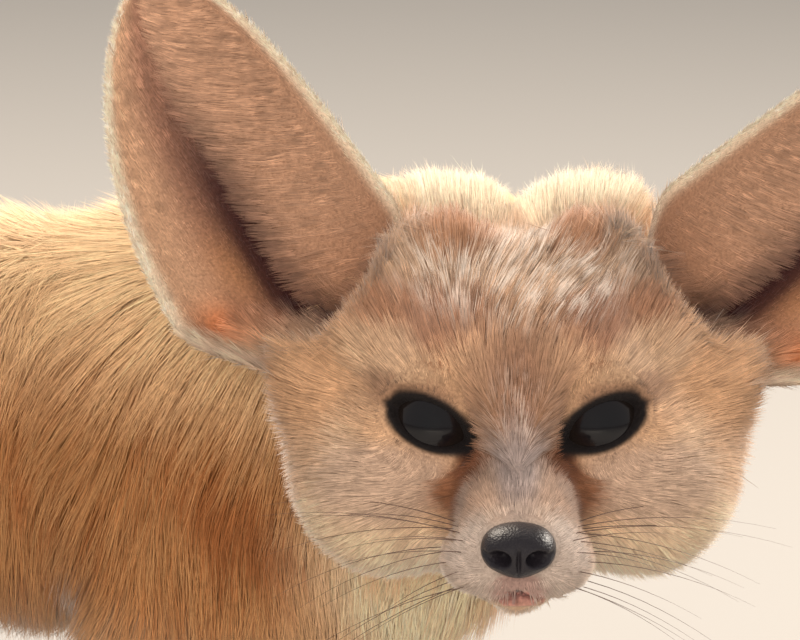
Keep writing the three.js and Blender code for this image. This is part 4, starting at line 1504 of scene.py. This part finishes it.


# %% [markdown]
# Colours of hairs vary one by one, and more from clump to clump. On the forehead many hairs end in
# white, and on the flanks some clumps are darkened from root to tip with painted shade, as where the coat parts.


# %% Colours of hairs
def hair_colors(roots, nearest, weights):
    """Colour at the base and at the tip of each hair."""
    base = skin_color(roots)
    local = to_head(roots)
    count = len(roots)
    one = random.normal(size=(count, 1)) * (0.10 + 0.05 * weights[:, [0]])
    base = blend(base, [0.03, 0.02, 0.018], eye_rim(local))
    clump = random.normal(size=count)[nearest][:, None] * 0.08
    base = base * np.exp(one + clump)
    tip = base * 1.18 + 0.012
    on_head = weights[:, 0]
    forehead = smooth(1.25, 0.6, np.linalg.norm((local - [-10, 1, 23]) / [20, 21, 10], axis=1)) * on_head
    for side in BOTH:
        forehead *= 1 - smooth(9, 5, np.linalg.norm(local - [-18, side * 10.5, 30], axis=1))
    bridge = smooth(1.2, 0.6, np.linalg.norm((local - [6, 0, 4]) / [12, 6, 9], axis=1)) * on_head
    streaks = np.clip(forehead + 0.45 * bridge, 0, 1)
    bands = 0.7 * ripple(local * [1, 1.6, 0.6], 7, 3)
    bands = bands + 0.7 * random.normal(size=count)[nearest] + 0.5 * random.normal(size=count)
    white = smooth(-0.1, 0.7, bands) * streaks
    dark = smooth(-0.3, -1.1, bands) * streaks
    tip = blend(tip, [0.90, 0.77, 0.67], 0.88 * white)
    base = blend(base, [0.60, 0.48, 0.40], 0.5 * white)
    base, tip = base * (1 - 0.5 * dark)[:, None], tip * (1 - 0.5 * dark)[:, None]
    trunk = weights[:, 1]
    # painted shade: clumps on the flanks made darker, as where the coat parts
    parted_shade = smooth(0.0, 1.0, ripple(roots, 26) + 0.4 * random.normal(size=count)[nearest]) * trunk
    parted_shade *= smooth(200, 165, roots[:, 2])
    base = base * (1 - np.array([0.3, 0.38, 0.44]) * parted_shade[:, None])
    tip = tip * (1 - np.array([0.22, 0.36, 0.45]) * parted_shade[:, None])
    golden = (1 - parted_shade) * trunk * (random.random(count) < 0.6)
    return base, blend(tip, [0.84, 0.52, 0.24], 0.36 * golden)


# %% Places on the bake map
def unrolled(roots, weights):
    """Place of each root on an unwrap of the skin: each part is unrolled about its own axis."""
    local = to_head(roots)
    head_u = np.arctan2(local[:, 1], local[:, 2] + 6) / (2 * np.pi) + 0.5
    head_v = (local[:, 0] + 60) / 100
    body_u = np.arctan2(roots[:, 1], roots[:, 2] - 158) / (2 * np.pi) + 0.5
    body_v = (roots[:, 0] + 125) / 270
    share, _ = tail_share(roots)
    tail_u = np.arctan2(roots[:, 1] - 12, roots[:, 2] - 100 - 0.6 * (roots[:, 0] + 200)) / (2 * np.pi) + 0.5
    leg_index = (roots[:, 1] < 0) * 1 + (roots[:, 0] < -20) * 2
    leg_u = np.arctan2(np.abs(roots[:, 1]) - 23, np.sin(roots[:, 0] / 9)) / (2 * np.pi) + 0.5
    main = weights.argmax(axis=1)
    u = np.choose(main, [head_u, body_u, (leg_index + leg_u) / 4, tail_u])
    v = np.choose(main, [head_v, body_v, roots[:, 2] / 130, share])
    return np.clip(np.stack([u, v], axis=1), 0.004, 0.996)


# %% [markdown]
# The coat is divided as a furrier would name it, so that no piece is too large.


# %% Regions of the coat
def regions(roots, weights):
    """A name for the region of each root."""
    local = to_head(roots)
    main = weights.argmax(axis=1)
    names = np.full(len(roots), "coat_trunk_left", dtype=object)
    names[(main == 1) & (roots[:, 1] < 0)] = "coat_trunk_right"
    names[(main == 1) & (roots[:, 0] > 84)] = "coat_neck"
    names[main == 2] = "coat_legs"
    names[main == 3] = "coat_tail"
    names[(main == 0) & (local[:, 1] >= 0)] = "coat_cheek_left"
    names[(main == 0) & (local[:, 1] < 0)] = "coat_cheek_right"
    names[(main == 0) & (local[:, 2] > 4)] = "coat_forehead"
    names[(main == 0) & (local[:, 0] > 12)] = "coat_muzzle"
    names[(main == 0) & (local[:, 0] < -32)] = "coat_crown"
    return names


# %% Grow the coat of head, trunk, legs and tail
roots = throw(density, int(expected))
roots = settle(flesh, roots, 0, 1)
way, size, weights = coat_lie(roots)
way += random.normal(size=way.shape) * (0.10 + 0.08 * weights[:, [1]])
size = size * np.exp(random.normal(size=(len(roots), 1)) * 0.14)
size[:, 1] *= np.clip(np.exp(random.normal(size=len(roots)) * 0.22), 0.6, 1.3)
region = regions(roots, weights)
total_triangles = 0
for name in sorted(set(region)):
    mine = region == name
    rings = 2 if name == "coat_tail" else 1
    stations, ups = comb(roots[mine], way[mine], size[mine], flesh, rings)
    local = to_head(roots[mine])
    pull = 0.25 + 0.3 * smooth(1.3, 0.7, np.linalg.norm((local - [-10, 0, 18]) / [24, 26, 16], axis=1))
    pull += 0.2 * (1 - weights[mine][:, 0])
    stations, nearest = cling(stations, 11 if rings == 1 else 9, pull)
    base, tip = hair_colors(roots[mine], nearest, weights[mine])
    patch = unrolled(roots[mine], weights[mine])
    total_triangles += hair_mesh(name, stations, ups, size[mine][:, 2], base, tip, patch)
print("coat so far", total_triangles, "triangles")

# %% [markdown]
# ## Hair of the ears
#
# The back of an ear has short dense hair that runs to the tip. Inside, pale hairs spring from the
# inner rim and lie across the wall, so that their tips hang over the dark crease. The bed beside it
# has short fuzz that gets paler to the outer rim, and a fine down stands out all round the rim.


# %% Ear hair stations
def ear_hair(side, across, up, face, way, length, lift):
    """Hairs rooted on the sheet of an ear. Face is 1 inside the cup and -1 on its back."""
    axes, root = ear_frame(side)
    step = 0.01
    low = ear_sheet(across, up, 0.5 * face, side)
    ends = [ear_sheet(np.clip(across + d, -1.2, 1.2), up, 0.5 * face, side) for d in (step, -step)]
    du = unit(ends[0] - ends[1])
    ends = [ear_sheet(across, np.clip(up + d, 0, 0.995), 0.5 * face, side) for d in (step, -step)]
    dv = unit(ends[0] - ends[1])
    out = np.cross(du, dv)
    out = unit(out * np.sign(out[:, [2]]) * face)
    heading = unit(way[:, [0]] * du + way[:, [1]] * dv)
    heading += random.normal(size=heading.shape) * 0.10
    end = low + heading * length[:, None] + out * lift[:, None]
    line = np.stack([low - out * 0.4, end], axis=1)
    placed = from_head((line.reshape(-1, 3) @ axes.T + root)).reshape(line.shape)
    up_way = (out @ axes.T) @ head_axes.T
    return placed, np.repeat(up_way[:, None], 2, axis=1)


# %% Kinds of ear hair
def ear_kinds(side):
    """For each kind: across, up, face, way, length, lift, width and how much it clings."""
    kinds = []

    def add(across, up, face, way, length, lift, width, pull):
        kinds.append((across, up, face, np.stack(way, axis=1), length, lift, width, pull))

    count = 8000  # the back
    across, up = random.uniform(-1, 1, count), random.uniform(0.03, 0.985, count)
    length, lift = random.uniform(3.2, 5.0, count), random.uniform(0.6, 1.2, count)
    add(across, up, -1, [0.25 * across, np.ones(count)], length, lift, 0.34, 0.3)

    count = 15000  # long pale hair of the wall, combed to the crease
    up = random.uniform(0.04, 0.96, count)
    outer = -0.86 + (crease_line(up) - 0.04 + 0.86) * random.random(count) ** 0.9
    way = [np.full(count, side * 0.85), np.interp(up, [0.05, 0.3, 0.9], [0.15, 0.5, 0.85])]
    length = np.interp(outer, [-0.86, -0.7, -0.4, 0.1], [3.0, 5.0, 8.0, 6.5])
    length = length * np.interp(up, [0, 0.7, 1], [1.1, 0.9, 0.45])
    add(outer * side, up, 1, way, length * random.uniform(0.8, 1.15, count), 0.10 * length + 0.4, 0.28, 0.6)

    count = 6500  # fuzz of the bed
    up = random.uniform(0.2, 0.97, count)
    outer = crease_line(up) + (0.96 - crease_line(up)) * random.random(count)
    way = [side * (0.2 + 0.5 * outer), np.ones(count)]
    length, lift = random.uniform(1.6, 3.0, count), random.uniform(0.3, 0.8, count)
    add(outer * side, up, 1, way, length, lift, 0.25, 0.3)

    count = 3200  # the lobe under the pocket
    up, outer = random.uniform(0.02, 0.2, count), random.uniform(-0.2, 0.98, count)
    way = [side * (0.1 + 0.7 * outer), np.ones(count)]
    length, lift = random.uniform(4.0, 6.5, count), random.uniform(0.8, 1.8, count)
    add(outer * side, up, 1, way, length, lift, 0.3, 0.4)

    count = 1200  # tufts at the root
    up, outer = random.uniform(0.02, 0.12, count), random.uniform(-0.8, 0.3, count)
    way = [side * (0.5 - 0.6 * outer), np.ones(count)]
    length, lift = random.uniform(6.0, 9.0, count), random.uniform(2.4, 4.2, count)
    add(outer * side, up, 1, way, length, lift, 0.3, 0.4)

    # a border along the rim, and fine down that stands out from it
    borders = [
        (0.84, (0.15, 1.0), (1.2, 2.2), (0.0, 0.35), 0.26, 0.2),
        (0.97, (0.9, 0.6), (0.7, 1.6), (-0.5, 0.6), 0.17, 0.0),
    ]
    count = 5000
    for innermost, (aside, along), lengths, lifts, width, pull in borders:
        edge = np.where(random.random(count) < 0.5, -1.0, 1.0)
        up = np.minimum(1 - random.uniform(0.0, 0.93, count) ** 1.2, 0.995)
        across = edge * random.uniform(innermost, 1.0, count)
        way = [edge * aside, np.full(count, along)]
        length, lift = random.uniform(*lengths, count), random.uniform(*lifts, count)
        add(across, up, 1, way, length, lift, width, pull)
    return kinds


# %% Grow the ears' hair
for side, label in SIDES:
    columns = [[] for _ in range(6)]
    for across, up, facing, way, length, lift, width, pull in ear_kinds(side):
        line, top = ear_hair(side, across, up, facing, way, length, lift)
        line, nearest = cling(line, 9, np.full(len(up), pull))
        reach = way * (length / np.linalg.norm(way, axis=1))[:, None] / [EAR_HALF_WIDTH, EAR_LENGTH]
        inside = np.full(len(up), facing > 0)
        color = ear_color(across * side, up, inside)
        end_across, end_up = np.clip(across + reach[:, 0], -1, 1), np.clip(up + reach[:, 1], 0, 1)
        end_color = 0.3 * color + 0.7 * ear_color(end_across * side, end_up, inside)
        tone_change = random.normal(size=(len(up), 1)) * 0.11
        tone_change = np.exp(tone_change + random.normal(size=len(up))[nearest][:, None] * 0.15)
        color, end_color = color * tone_change, end_color * tone_change
        patch = np.stack([(across + 1) / 4 + (0.5 if facing > 0 else 0), up], axis=1)
        values = (line, top, np.full(len(up), width), color, end_color * 1.18 + 0.02, patch)
        for column, value in zip(columns, values):
            column.append(value)
    pieces = [np.concatenate(column) for column in columns]
    pieces[5] = np.clip(pieces[5], 0.004, 0.996)
    total_triangles += hair_mesh(f"coat_ear_{label}", *pieces)
print("coat", total_triangles, "triangles")
